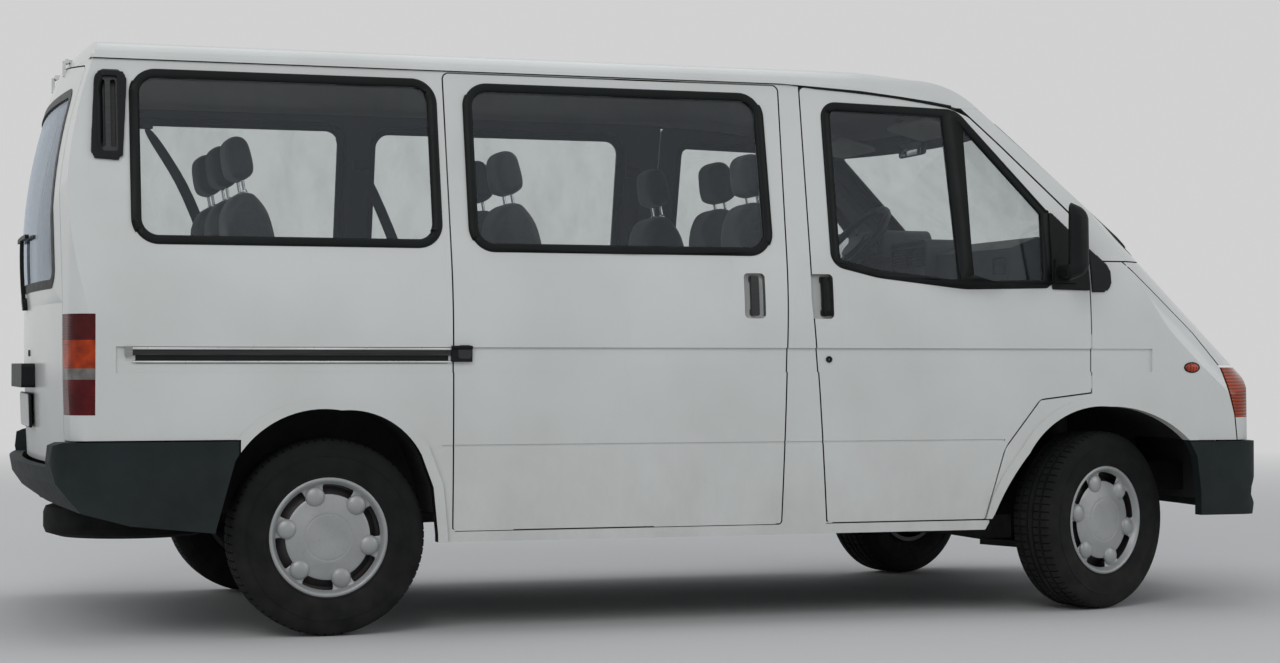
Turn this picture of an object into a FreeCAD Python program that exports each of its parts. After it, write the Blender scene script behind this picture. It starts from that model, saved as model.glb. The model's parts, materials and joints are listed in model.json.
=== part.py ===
import FreeCAD, Part
import Sketcher
import os
import re
import math
from FreeCAD import Vector, Rotation, Placement

# Full-size window van with nine seats. +X is forward, +Y is the left side, +Z is up.
# The origin is on the ground, midway between the ends of the bumpers.

doc = FreeCAD.newDocument("minibus")
sheet = doc.addObject("Spreadsheet::Sheet", "Sizes")
names = set()
parts = []
made = {}


def size(alias, value):
    row = len(names) + 1
    sheet.set("A%d" % row, alias)
    sheet.set("B%d" % row, str(value))
    sheet.setAlias("B%d" % row, alias)
    names.add(alias)


# Whole vehicle, in millimetres.
size("wheelbase", 2835)
size("frontOverhang", 825)
size("rearOverhang", 972)
size("roofHeight", 2020)
size("beltHalfWidth", 961)
size("sillHalfWidth", 938)
size("railHalfWidth", 800)
size("railHeight", 1893)
size("beltHeight", 1000)
size("shellBottom", 250)
size("wallThickness", 40)
size("floorTop", 560)
size("floorThickness", 40)
size("sillBottom", 305)
size("doorBottom", 344)
size("panelGap", 5)
size("seat", 0.3)
# Plan curves of the nose and the tail, measured back and forward from the axles.
size("noseCurve", 1785)
size("tailCurve", 4900)
size("noseCorner", 160)
size("tailCorner", 80)
size("bumperNoseCurve", 2200)
# Tailgate hinges, measured from the rear axle and the ground.
size("hingeX", -803)
size("hingeZ", 1953)
size("hingeRadius", 8)
size("hingeTrack", 220)
size("hingeWidth", 28)
# Glazing.
size("glassDepth", 4)
size("glassThickness", 5)
size("sealWidth", 30)
size("sealDepth", 14)
size("sealProud", 2)
# Recessed band under the windows.
size("bandBottom", 873)
size("bandTop", 958)
size("bandDepth", 8)
# Crease low on the doors.
size("creaseDepth", 3)
size("creaseRear", 372)
size("creaseFront", -384)
size("creaseHeight", 624)
size("creaseWidth", 7)
# Handle cups and pulls.
size("cupWidth", 78)
size("cupHeight", 158)
size("cupDepth", 24)
size("cupRound", 16)
size("pullWidth", 28)
size("pullHeight", 140)
size("pullProud", 6)
size("pullFoot", 22)
size("pullDepth", 14)
size("handleHeight", 1140)
size("sliderPull", 1489)
size("doorPull", -1079)
size("wiperProud", 16)
# Mirrors.
size("mirrorLow", 1204)
size("mirrorHeight", 297)
# Wheels and tyres.
size("tyreRadius", 327)
size("tyreWidth", 195)
size("beadRadius", 190.3)
size("barrelRadius", 174)
size("flangeReach", 88)
size("discBack", 22)
size("hubRadius", 70)
size("wheelPlane", 820)
size("trimRadius", 203)
size("bossCount", 6)
size("bossAngle", 12)
size("bossCircle", 141)
size("bossRadius", 33.5)
size("slotCircle", 158)
size("slotHeight", 30)
size("capRadius", 79)
size("stubRadius", 24)
size("stubClearance", 0.1)
size("hubFace", 752)
# Steering.
size("kingpinTrack", 745)
size("steerAngle", 21.7)
size("kingpinRadius", 12)
size("pinStart", 85)
size("pinLength", 35)
size("pinClearance", 0.3)
size("stubLength", 38)
size("postRadius", 24)
size("postOffset", 22)
size("postReach", 100)
size("armReach", 120)
size("armDrop", 70)
size("steeringWheelRadius", 200)
size("steeringGrip", 15)
size("steeringRake", 48)
size("wheelHubRadius", 60)
size("wheelHubDepth", 40)
size("columnRadius", 18)
size("spokeWidth", 40)
size("spokeCount", 3)
# Arches.
size("flareWidth", 34)
size("flareProud", 9)
size("linerGap", 4)
size("linerThickness", 6)
size("frontInnerWing", 528)
size("rearInnerArch", 640)
# Running gear.
size("railTrack", 440)
size("railWidth", 70)
size("railDepth", 110)
size("towBarBack", 640)
size("towBarPitch", 180)
size("towBarHole", 6.5)
size("towBarDepth", 40)
size("springTrack", 540)
size("axleTube", 40)
size("diffRadius", 140)
size("engineLength", 480)
size("engineWidth", 520)
size("engineHeight", 520)
size("tankLength", 700)
size("tankWidth", 380)
size("tankHeight", 219)
size("tankRound", 35)
size("engineLow", 420)
size("shaftRadius", 32)
size("exhaustTrack", 330)
size("pipeRadius", 24)
size("silencerRadius", 80)
size("silencerLength", 500)
size("spareRadius", 300)
size("sparePlies", 120)
size("spareLow", 290)
size("spareBolt", 140)
# Seats.
size("cushionThickness", 140)
size("seatHeight", 900)
size("backThickness", 110)
size("backHeight", 600)
size("headrestWidth", 250)
size("headrestHeight", 165)
size("headrestThickness", 80)
# Lines that the running gear is placed from.
size("axleRear", "=rearOverhang - (wheelbase + frontOverhang + rearOverhang) / 2")
size("axleFront", "=axleRear + wheelbase")
size("floorUnder", "=floorTop - floorThickness - seat")
doc.recompute()


def val(alias):
    return float(sheet.get(alias))


def cells(text):
    return re.sub(r"[A-Za-z]\w*", lambda m: "Sizes." + m.group(0) if m.group(0) in names else m.group(0), str(text))


rearAxle = val("axleRear")
frontAxle = val("axleFront")
wall = val("wallThickness")
gap = val("panelGap")
far = 3000.0
right, left = -1, 1


def aft(x):
    # x is measured forward from the rear axle
    return rearAxle + x


def fore(x):
    # x is measured forward from the front axle
    return frontAxle + x


def sideways(x, z):
    return Vector(x, 0, z)


def endways(y, z):
    return Vector(0, y, z)


def plan(x, y):
    return Vector(x, y, 0)


def wire(rows, put):
    # each row is (a, b) for a line to a point, or (midA, midB, a, b) for an arc
    edges = []
    last = put(*rows[0])
    for row in rows[1:]:
        end = put(*row[-2:])
        if len(row) == 2:
            edges.append(Part.LineSegment(last, end).toShape())
        else:
            edges.append(Part.Arc(last, put(*row[:2]), end).toShape())
        last = end
    first = put(*rows[0])
    if (last - first).Length > 1e-6:
        edges.append(Part.LineSegment(last, first).toShape())
    return Part.Wire(edges)


def arc_centre(a, b, c):
    ax, ay, bx, by, cx, cy = a[0], a[1], b[0], b[1], c[0], c[1]
    d = 2 * (ax * (by - cy) + bx * (cy - ay) + cx * (ay - by))
    ux = ((ax * ax + ay * ay) * (by - cy) + (bx * bx + by * by) * (cy - ay) + (cx * cx + cy * cy) * (ay - by)) / d
    uy = ((ax * ax + ay * ay) * (cx - bx) + (bx * bx + by * by) * (ax - cx) + (cx * cx + cy * cy) * (bx - ax)) / d
    return ux, uy


def unit(x, y):
    reach = math.hypot(x, y)
    return x / reach, y / reach


def headings(start, mid, end):
    # the directions in which a line or an arc leaves its start and reaches its end
    if mid is None:
        along = unit(end[0] - start[0], end[1] - start[1])
        return along, along, None
    cx, cy = arc_centre(start, mid, end)
    turn = (mid[0] - start[0]) * (end[1] - mid[1]) - (mid[1] - start[1]) * (end[0] - mid[0])
    sign = 1 if turn > 0 else -1
    found = []
    for x, y in (start, end, mid):
        found.append(unit(-sign * (y - cy), sign * (x - cx)))
    return found[0], found[1], found[2]


def inset_rows(rows, inset):
    # moves an outline's corners and the middles of its arcs inwards by one distance
    count = len(rows)
    spots = [row[-2:] for row in rows]
    area = sum(a[0] * b[1] - b[0] * a[1] for a, b in zip(spots, spots[1:] + spots[:1]))
    inward = 1 if area > 0 else -1
    spans = []
    for index in range(count):
        following = rows[(index + 1) % count]
        mid = following[:2] if len(following) == 4 and index < count - 1 else None
        spans.append(headings(spots[index], mid, spots[(index + 1) % count]))
    moved = []
    for index in range(count):
        coming = spans[index - 1][1]
        going = spans[index][0]
        n1 = (-coming[1] * inward, coming[0] * inward)
        n2 = (-going[1] * inward, going[0] * inward)
        scale = inset / (1 + n1[0] * n2[0] + n1[1] * n2[1])
        x, y = spots[index]
        spot = (x + scale * (n1[0] + n2[0]), y + scale * (n1[1] + n2[1]))
        if len(rows[index]) == 4:
            mx, my = rows[index][:2]
            tx, ty = spans[index - 1][2]
            spot = (mx - ty * inward * inset, my + tx * inward * inset) + spot
        moved.append(spot)
    return moved


def rounded(rows, put):
    # each row is (a, b, radius): a corner and the radius that rounds it
    count = len(rows)
    ends = []
    for index in range(count):
        a, b, radius = rows[index]
        corner = put(a, b)
        before = put(*rows[index - 1][:2]) - corner
        after = put(*rows[(index + 1) % count][:2]) - corner
        if radius <= 0:
            ends.append((corner, None, corner))
            continue
        turn = before.getAngle(after)
        reach = radius / math.tan(turn / 2)
        before.normalize()
        after.normalize()
        middle = before + after
        middle.normalize()
        centre = corner + middle * (radius / math.sin(turn / 2))
        ends.append((corner + before * reach, centre - middle * radius, corner + after * reach))
    edges = []
    for index in range(count):
        start, mid, end = ends[index]
        if mid:
            edges.append(Part.Arc(start, mid, end).toShape())
        following = ends[(index + 1) % count][0]
        if (following - end).Length > 1e-6:
            edges.append(Part.LineSegment(end, following).toShape())
    return Part.Wire(edges)


def grown(outline, by):
    face = Part.Face(outline)
    return face if by == 0 else face.makeOffset2D(by, join=0)


def prism(outline, start, end, along, by=0):
    # a slab between two places along the axis that its outline faces
    face = grown(outline, by)
    face.translate(along * start)
    return face.extrude(along * (end - start))


def side_slab(outline, side, by=0, inner=350.0, outer=1150.0):
    low, high = sorted((side * inner, side * outer))
    return prism(outline, low, high, Vector(0, 1, 0), by)


def block(x0, x1, y0, y1, z0, z1):
    return Part.makeBox(x1 - x0, y1 - y0, z1 - z0, Vector(x0, y0, z0))


def keep(label, shape, tag="Part::Feature"):
    thing = doc.addObject(tag, label)
    thing.Label = label
    thing.Shape = shape
    thing.Placement = Placement()
    parts.append(thing)
    return thing


def mirrored(shape):
    return shape.mirror(Vector(0, 0, 0), Vector(0, 1, 0))


# Outer form: a cross-section with tumblehome, cut by a nose and a tail curved in plan.

def cross_section(inset):
    belt, sill, rail = val("beltHalfWidth"), val("sillHalfWidth"), val("railHalfWidth")
    low, belt_z, rail_z, top = val("shellBottom"), val("beltHeight"), val("railHeight"), val("roofHeight")
    waist = (belt - 30, belt_z + 280)
    mid = (belt - 7.5, belt_z + 140)
    shoulder = (rail - 21, rail_z + 44, rail - 65, rail_z + 70)
    rows = [
        (sill, low),
        (sill, low + 50),
        (belt - 6, 620, belt, belt_z),
        mid + waist,
        (rail, rail_z),
        shoulder,
        (0, top, -shoulder[2], shoulder[3]),
        (-shoulder[0], shoulder[1], -rail, rail_z),
        (-waist[0], waist[1]),
        (-mid[0], mid[1], -belt, belt_z),
        (6 - belt, 620, -sill, low + 50),
        (-sill, low),
    ]
    return Part.Face(wire(inset_rows(rows, inset), endways))


def half_plane(face):
    # keeps the part of a profile in front of the turning axis
    window = Part.Face(wire([(0, -far), (4 * far, -far), (4 * far, far), (0, far)], sideways))
    return face.common(window).Faces[0]


def nose_profile():
    # x is measured forward from the front axle, at the centre of the vehicle
    curve = val("noseCurve")
    top = val("roofHeight") + 2
    low = val("shellBottom")
    rows = [
        (-curve - 300, low),
        (-curve - 300, top),
        (-1485, top),
        (-885, top - 30, -435, top - 84),
        (-290, top - 117, -206, top - 176),
        (404, 1282),
        (628, 1077, 790, 893),
        (803, 872),
        (808, 770),
        (812, 560),
        (812, low),
    ]
    return [tuple(v + curve if i % 2 == 0 else v for i, v in enumerate(row)) for row in rows]


def tail_profile():
    # x is measured back from the centre of the tail's curve
    curve = val("tailCurve")
    top = val("roofHeight") + 2
    low = val("shellBottom")
    rows = [
        (val("wheelbase"), low),
        (val("wheelbase"), top),
        (-560, top),
        (-752, top - 26, -822, top - 132),
        (-893, 1640, -918, 1100),
        (-916, 830, -905, 560),
        (-890, low),
    ]
    return [tuple(curve - v if i % 2 == 0 else v for i, v in enumerate(row)) for row in rows]


def turned(face, centre, start, sweep):
    face.rotate(Vector(0, 0, 0), Vector(0, 0, 1), start)
    face.translate(Vector(centre, 0, 0))
    return face.revolve(Vector(centre, 0, 0), Vector(0, 0, 1), sweep)


def split_x():
    return fore(-val("noseCurve"))


def body_solid(inset):
    # each inset of the outer form is made once
    if inset not in made:
        made[inset] = make_body(inset)
    return made[inset]


def make_body(inset):
    section = cross_section(inset)
    ahead = section.copy()
    ahead.translate(Vector(split_x(), 0, 0))
    ahead = ahead.extrude(Vector(far, 0, 0))
    behind = section.copy()
    behind.translate(Vector(split_x(), 0, 0))
    behind = behind.extrude(Vector(-far, 0, 0))
    nose = half_plane(Part.Face(wire(inset_rows(nose_profile(), inset), sideways)))
    nose = turned(nose, split_x(), -90, 180)
    tail = Part.Face(wire(inset_rows(tail_profile(), inset), sideways))
    tail = turned(tail, aft(val("tailCurve")), 180 - 20, 40)
    front = ahead.common(nose).common(shoulder_trim(inset))
    rear = behind.common(tail)
    whole = front.fuse(rear).common(corner_trim(inset)).removeSplitter()
    return whole.Solids[0]


def shoulder_trim(inset):
    # rounds the shoulders of the bonnet: one section drawn at the cowl, carried down the bonnet's slope
    belt = val("beltHalfWidth")
    half = [(belt, -2500), (belt, 1190), (belt - 46, 1312, belt - 200, 1414), (0, 1850)]
    back = [(200 - belt, 1414), (46 - belt, 1312, -belt, 1190), (-belt, -2500)]
    face = Part.Face(wire(inset_rows(half + back, inset), endways))
    face.translate(Vector(fore(118), 0, 0))
    slope = Vector(394, 0, -380)
    face.translate(slope * -6)
    return face.extrude(slope * 9)


def corner_trim(inset):
    # rounds the upright corners of the nose and the tail
    belt = val("beltHalfWidth")
    nose, tail = val("noseCorner"), val("tailCorner")
    rows = [
        (fore(925), 0, 0),
        (fore(645), belt, nose),
        (aft(-835), belt, tail),
        (aft(-1010), 0, 0),
        (aft(-835), -belt, tail),
        (fore(645), -belt, nose),
    ]
    face = grown(rounded(rows, plan), -inset)
    return face.extrude(Vector(0, 0, far))


# Shells of the outer form that every panel, pane and seal is cut from.
outer = body_solid(0)
wall_shell = outer.cut(body_solid(wall))
glass_shell = body_solid(val("glassDepth")).cut(body_solid(val("glassDepth") + val("glassThickness")))
seal_shell = body_solid(-val("sealProud")).cut(body_solid(val("sealDepth")))
flare_shell = body_solid(-val("flareProud")).cut(outer)
cabin = body_solid(wall + val("seat"))
band = outer.cut(body_solid(val("bandDepth"))).common(
    block(aft(-700), fore(215), -far, far, val("bandBottom"), val("bandTop")))
wall_shell = wall_shell.cut(band)
crease = outer.cut(body_solid(val("creaseDepth"))).common(block(
    aft(val("creaseRear")), fore(val("creaseFront")), -far, far,
    val("creaseHeight"), val("creaseHeight") + val("creaseWidth")))
wall_shell = wall_shell.cut(crease)
cup_floor = body_solid(val("cupDepth"))
cup_shell = outer.cut(cup_floor)
proud = body_solid(-val("pullProud"))
grip_shell = proud.cut(body_solid(val("pullDepth")))
foot_shell = proud.cut(body_solid(val("cupDepth") - val("seat")))
plate_shell = proud.cut(body_solid(-val("seat")))
lifted = body_solid(-val("wiperProud"))
near_shell = lifted.cut(body_solid(-val("seat")))
lift_shell = lifted.cut(body_solid(-val("sealProud") - val("seat")))


# Outlines seen from the side: x from an axle, height above the ground, corner radius.

def rear_window():
    return rounded([(aft(-645), 1290, 85), (aft(382), 1290, 85), (aft(382), 1873, 85), (aft(-645), 1873, 85)], sideways)


def middle_window():
    return rounded([(aft(475), 1280, 85), (fore(-1271), 1280, 85), (fore(-1271), 1865, 85), (aft(475), 1865, 85)],
                   sideways)


def door_window():
    return rounded([
        (fore(-1052), 1250, 60),
        (fore(-875), 1208, 300),
        (fore(-535), 1170, 500),
        (fore(-195), 1178, 25),
        (fore(-179), 1461, 15),
        (fore(-510), 1832, 90),
        (fore(-1045), 1845, 60),
    ], sideways)


def door_outline():
    return rounded([
        (fore(-1119), 1894, 20),
        (fore(-1129), 1132, 300),
        (fore(-1103), 816, 300),
        (fore(-1069), val("doorBottom"), 12),
        (fore(-458), val("doorBottom"), 8),
        (fore(-384), 600, 150),
        (fore(-244), 775, 40),
        (fore(-38), 799, 6),
        (fore(-38), 1397, 6),
        (fore(-100), 1462, 80),
        (fore(-345), 1698, 200),
        (fore(-463), 1806, 60),
        (fore(-548), 1840, 200),
        (fore(-725), 1863, 500),
        (fore(-885), 1881, 500),
    ], sideways)


def slider_outline():
    return rounded([
        (aft(414), val("doorBottom"), 10),
        (fore(-1245), val("doorBottom"), 10),
        (fore(-1205), 1894, 20),
        (aft(408), 1894, 20),
    ], sideways)


def front_lip():
    # the edge of the front wheel opening
    return [
        (fore(-463), 200),
        (fore(-458), 300),
        (fore(-420), 365),
        (fore(-361), 478, fore(-288), 578),
        (fore(-155), 708, fore(38), 746),
        (fore(213), 716, fore(370), 619),
        (fore(402), 560),
        (fore(418), 430),
        (fore(418), 200),
    ]


def rear_lip():
    # the edge of the rear wheel opening
    return [
        (aft(-400), 200),
        (aft(-380), 360),
        (aft(-318), 585),
        (aft(-190), 712, aft(30), 749),
        (aft(190), 714, aft(300), 600),
        (aft(342), 490),
        (aft(360), 330),
        (aft(364), 200),
    ]


def tailgate_outline():
    # seen from behind: across, height, corner radius
    return rounded([
        (-828, 574, 25),
        (828, 574, 25),
        (828, 1150, 400),
        (738, 1880, 50),
        (0, 1950, 3000),
        (-738, 1880, 50),
        (-828, 1150, 400),
    ], endways)


def rear_pane():
    return rounded([(-745, 1150, 60), (745, 1150, 60), (665, 1820, 70), (-665, 1820, 70)], endways)


def screen_outline():
    return rounded([(-880, 1306, 60), (880, 1306, 60), (758, 1822, 70), (-758, 1822, 70)], endways)


def end_slab(outline, ahead, by=0):
    # a slab seen from the front or from behind
    start, end = (split_x(), split_x() + far) if ahead else (split_x() - far, split_x())
    return prism(outline, start, end, Vector(1, 0, 0), by)


def rail_line(drop):
    # the underside of the roof panel, seen from the side
    return [
        (aft(-1100), 1904 - drop),
        (fore(-1194), 1904 - drop),
        (fore(-884), 1888 - drop),
        (fore(-727), 1872 - drop),
        (fore(-607), 1858 - drop),
        (fore(-505), 1838 - drop),
    ]


def polygon(rows, put=sideways):
    return wire(rows, put)


def ring(outline, bar=None):
    # the face between an outline and the same outline drawn in by the seal's width, with a bar across it
    hole = grown(outline, -val("sealWidth"))
    if bar:
        hole = hole.cut(Part.Face(bar))
    return Part.Face(outline).cut(hole).Faces[0]


def side_ring(outline, side, bar=None):
    face = ring(outline, bar)
    face.translate(Vector(0, side * 1150, 0))
    return seal_shell.common(face.extrude(Vector(0, -side * 800, 0))).Solids[0]


def end_ring(outline, ahead):
    face = ring(outline)
    face.translate(Vector(split_x(), 0, 0))
    return seal_shell.common(face.extrude(Vector(far if ahead else -far, 0, 0))).Solids[0]


def solids(shape, least=1000.0):
    found = [solid for solid in shape.Solids if solid.Volume > least]
    return found[0] if len(found) == 1 else Part.Compound(found)


def both(shape):
    return Part.Compound(list(shape.Solids) + list(mirrored(shape).Solids))


seal_edge = val("seat")
pane_inset = -(val("sealWidth") + val("seat"))


def hinge_lug(side, moving):
    # half of a tailgate hinge: a barrel on the pivot's line and the strap that carries it
    start = side * val("hingeTrack")
    width = side * val("hingeWidth")
    if moving:
        start += width + side * val("seat")
    low, high = sorted((start, start + width))
    x, z = aft(val("hingeX")), val("hingeZ")
    barrel = Part.makeCylinder(val("hingeRadius"), high - low, Vector(x, low, z), Vector(0, 1, 0))
    strap = block(x - 15, x - 4, low, high, z - 53, z) if moving else block(x - 2, x + 23, low, high, z - 4, z + 8)
    return barrel.fuse(strap)


def roof():
    region = polygon(rail_line(0) + [(fore(-200), 1838), (fore(0), 1838), (fore(0), 2300), (aft(-1100), 2300)])
    panel = wall_shell.common(prism(region, -far, far, Vector(0, 1, 0)))
    panel = panel.cut(end_slab(tailgate_outline(), False, gap))
    low = rail_line(0)[:-1]
    low[0] = (aft(-770), low[0][1])
    high = [(x, z + 12) for x, z in reversed(low)]
    gutter = flare_shell.common(prism(polygon(low + high), -far, far, Vector(0, 1, 0)))
    lugs = [hinge_lug(side, False) for side in (right, left)]
    keep("roof", solids(panel.fuse([gutter] + lugs)))


def side_panel(side):
    slider = side == right
    edge = [(fore(-1194), 1904 - val("seat")), (fore(-1124), 1900), (fore(-1134), 1132), (fore(-1108), 816), (fore(-1074), val("doorBottom") - gap)]
    rows = [
        (aft(-1100), 1904 - val("seat")),
        (aft(-1100), 655),
        (aft(-300), 655),
        (aft(-300), val("sillBottom")),
        (fore(-440), val("sillBottom")),
        (fore(-440), val("doorBottom") - gap),
    ] + list(reversed(edge))
    panel = wall_shell.common(side_slab(polygon(rows), side))
    panel = panel.cut(side_slab(wire(rear_lip(), sideways), side))
    panel = panel.cut(side_slab(wire(front_lip(), sideways), side))
    panel = panel.cut(end_slab(tailgate_outline(), False, gap))
    panel = panel.cut(side_slab(rear_window(), side, seal_edge))
    if slider:
        panel = panel.cut(side_slab(slider_outline(), side, gap))
    else:
        panel = panel.cut(side_slab(middle_window(), side, seal_edge))
    panel = panel.cut(tail_lamp_slab(side)).cut(vent_slab(side, seal_edge))
    flare = flare_shell.common(side_slab(wire(rear_lip(), sideways), side, val("flareWidth")))
    flare = flare.cut(side_slab(wire(rear_lip(), sideways), side))
    flare = flare.common(side_slab(polygon(rows), side))
    flare = flare.cut(side_slab(slider_outline(), side, gap))
    keep("side_panel_right" if side == right else "side_panel_left", solids(panel.fuse(flare)))


def tail_lamp_slab(side, by=0):
    low, high = (835, 1100) if side == left else (-1100, -835)
    return block(aft(-1100), aft(-764) + by, low - by if side == left else low, high + by, 737 - by, 1063 + by)


def vent_slab(side, by=0):
    outline = rounded([(aft(-758), 1572, 15), (aft(-672), 1572, 15), (aft(-672), 1866, 15), (aft(-742), 1866, 15)],
                      sideways)
    return side_slab(outline, side, by, inner=600)


def tail_lamps():
    lamp = outer.common(tail_lamp_slab(left, -val("seat"))).cut(body_solid(wall))
    lamp.fix(0.01, 0.01, 0.1)
    keep("tail_lamps", both(solids(lamp)))


def cup(side, x0, x1):
    # a shallow cup for a handle, pressed into the outer skin
    half, turn = val("cupHeight") / 2, val("cupRound")
    low, high = val("handleHeight") - half, val("handleHeight") + half
    outline = rounded([(x0, low, turn), (x1, low, turn), (x1, high, turn), (x0, high, turn)], sideways)
    return cup_shell.common(side_slab(outline, side))


def pull(side, middle):
    # an upright grip that stands on two feet in its cup
    wide, half, foot = val("pullWidth") / 2, val("pullHeight") / 2, val("pullFoot")
    low, high = val("handleHeight") - half, val("handleHeight") + half
    outline = rounded([(middle - wide, low, 8), (middle + wide, low, 8), (middle + wide, high, 8),
                       (middle - wide, high, 8)], sideways)
    slab = side_slab(outline, side)
    grip = grip_shell.common(slab)
    feet = foot_shell.common(slab)
    feet = feet.cut(block(-far, far, -far, far, low + foot, high - foot))
    return solids(grip.fuse(feet))


def slider():
    door = wall_shell.common(side_slab(slider_outline(), right))
    door = door.cut(cup(right, aft(val("sliderPull") - val("cupWidth") / 2), aft(val("sliderPull") + val("cupWidth") / 2)))
    door = door.cut(side_slab(middle_window(), right, seal_edge))
    keep("sliding_door", solids(door))


def side_glass():
    panes = [glass_shell.common(side_slab(rear_window(), side, pane_inset)) for side in (right, left)]
    panes += [glass_shell.common(side_slab(middle_window(), side, pane_inset)) for side in (right, left)]
    keep("side_glass", Part.Compound([pane.Solids[0] for pane in panes]))


def window_seals():
    rings = []
    for side in (right, left):
        for outline in (rear_window(), middle_window()):
            rings.append(side_ring(outline, side))
    rings.append(end_ring(screen_outline(), True))
    keep("window_seals", Part.Compound(rings))


def screen():
    pane = glass_shell.common(end_slab(screen_outline(), True, pane_inset))
    keep("windscreen", solids(pane))
    region = polygon([
        (fore(-33), 1282),
        (fore(-33), 1400),
        (fore(-93), 1465),
        (fore(-341), 1703),
        (fore(-458), 1810),
        (fore(-489), 1838 - val("seat")),
        (fore(200), 1838 - val("seat")),
        (fore(600), 1282),
    ])
    frame = wall_shell.common(prism(region, -far, far, Vector(0, 1, 0)))
    frame = frame.cut(end_slab(screen_outline(), True, seal_edge))
    keep("screen_surround", solids(frame))


def shut_line(along):
    # the gap between bonnet and wing, shifted forward by half of its width
    return [(fore(x + along), z) for x, z in ((108, 1277), (220, 1180), (402, 1018), (512, 889))]


def wings():
    rows = [
        (fore(-454), val("doorBottom")),
        (fore(-379), 597),
        (fore(-241), 770),
        (fore(-33), 794),
        (fore(-33), 1277),
    ] + shut_line(-3) + [(fore(561), 713), (fore(573), 620), (fore(360), 620), (fore(-400), val("doorBottom"))]
    panel = wall_shell.common(side_slab(polygon(rows), right))
    panel = panel.cut(side_slab(wire(front_lip(), sideways), right))
    flare = flare_shell.common(side_slab(wire(front_lip(), sideways), right, val("flareWidth")))
    flare = flare.cut(side_slab(wire(front_lip(), sideways), right))
    flare = flare.common(side_slab(polygon(rows), right))
    keep("wings", both(solids(panel.fuse(flare))))


def link(rows, thick, y0, y1):
    # a bent strap seen from the side, with a round end at each place
    pieces = []
    for (ax, az), (bx, bz) in zip(rows, rows[1:]):
        run = Vector(bx - ax, 0, bz - az)
        half = Vector(-run.z, 0, run.x).normalize() * (thick / 2)
        start, end = Vector(ax, y0, az), Vector(bx, y0, bz)
        corners = [start + half, end + half, end - half, start - half, start + half]
        pieces.append(Part.Face(Part.makePolygon(corners)).extrude(Vector(0, y1 - y0, 0)))
    for x, z in rows:
        pieces.append(Part.makeCylinder(thick / 2, y1 - y0, Vector(x, y0, z), Vector(0, 1, 0)))
    return pieces[0].fuse(pieces[1:])


def bonnet():
    # the rear edge stands upright, so that the lid can swing up past the screen's lower rim
    region = polygon(shut_line(3)[:3] + [(fore(509), 897), (fore(900), 897), (fore(900), 1277)])
    lid = wall_shell.common(prism(region, -far, far, Vector(0, 1, 0)))
    level = Part.makePlane(2 * far, 2 * far, Vector(-far, -far, 1277)).common(outer)
    lid = lid.cut(level.extrude(Vector(0, 0, -250)))
    arm = link([(fore(108), 1277), (fore(140), 1120), (fore(221), 1085), (fore(362), 1200)], 16, 692, 712)
    keep("bonnet", solids(lid.fuse([arm, mirrored(arm)])))


def nose_region(z0, z1):
    lean = (513, 561, 573)
    return prism(polygon([
        (fore(lean[0] + 6), 889),
        (fore(lean[1] + 6), 713),
        (fore(lean[2] + 6), 620),
        (fore(900), 620),
        (fore(900), 889),
    ]), -far, far, Vector(0, 1, 0)).common(block(fore(300), fore(900), -far, far, z0, z1))


def nose():
    strip = wall_shell.common(nose_region(620, 703))
    brace = block(fore(630), fore(640), -860, 860, 625, 700).common(body_solid(10))
    brace = brace.fuse(block(fore(630), fore(640), -700, 700, 380, 880))
    keep("nose_panel", solids(strip.fuse(brace)))
    lamp_zone = wall_shell.common(nose_region(703 + val("seat"), 889))
    head = lamp_zone.common(block(fore(0), fore(900), 425, 740, 0, far))
    keep("headlamps", both(solids(head)))
    corner = lamp_zone.common(block(fore(0), fore(900), 743, 1100, 0, far))
    keep("indicators", both(solids(corner)))
    frame = lamp_zone.common(block(fore(0), fore(900), -420, 420, 0, far))
    for index in range(5):
        low = 722 + index * 33
        hole = block(fore(0), fore(900), -400, -8, low, low + 24)
        frame = frame.cut(hole).cut(mirrored(hole))
    keep("grille", solids(frame))


def bumper(label, profile, centre, start, plan_rows, trims, mount):
    # a bar of constant wall, curved in plan, with a rounded corner each side and arms along the body
    shapes = []
    for inset in (0, 45):
        face = half_plane(Part.Face(wire([(x - inset, z) for x, z in profile], sideways)))
        bar = turned(face, centre, start, 180)
        rows = [(x, y, r) for x, y, r in plan_rows]
        face = grown(rounded(rows, plan), -inset)
        shapes.append(bar.common(face.extrude(Vector(0, 0, far))))
    bar = shapes[0].cut(shapes[1])
    for trim in trims:
        bar = bar.cut(trim)
    mount = mount.common(shapes[0])
    keep(label, solids(bar.fuse([mount, mirrored(mount)])))


def front_bumper():
    curve = val("bumperNoseCurve")
    tip = val("frontOverhang")
    rows = [(tip - 12, 615), (tip - 3, 600), (tip, 510), (tip - 30, 444), (tip - 33, 414), (tip - 16, 382), (tip - 26, 342)]
    profile = [(-200, 342), (-200, 615)] + rows
    profile = [(x + curve, z) for x, z in profile]
    half = val("beltHalfWidth") + 1
    outline = [
        (fore(1100), 0, 0),
        (fore(650), half, 100),
        (fore(200), half, 0),
        (fore(200), -half, 0),
        (fore(650), -half, 100),
    ]
    lips = [prism(wire(front_lip(), sideways), -far, far, Vector(0, 1, 0)),
            block(fore(0), fore(368), -far, far, 0, far)]
    mount = block(fore(640) + val("seat"), fore(790), 400, 480, 430, 500)
    bumper("bumper_front", profile, fore(-curve), -90, outline, lips, mount)


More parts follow.
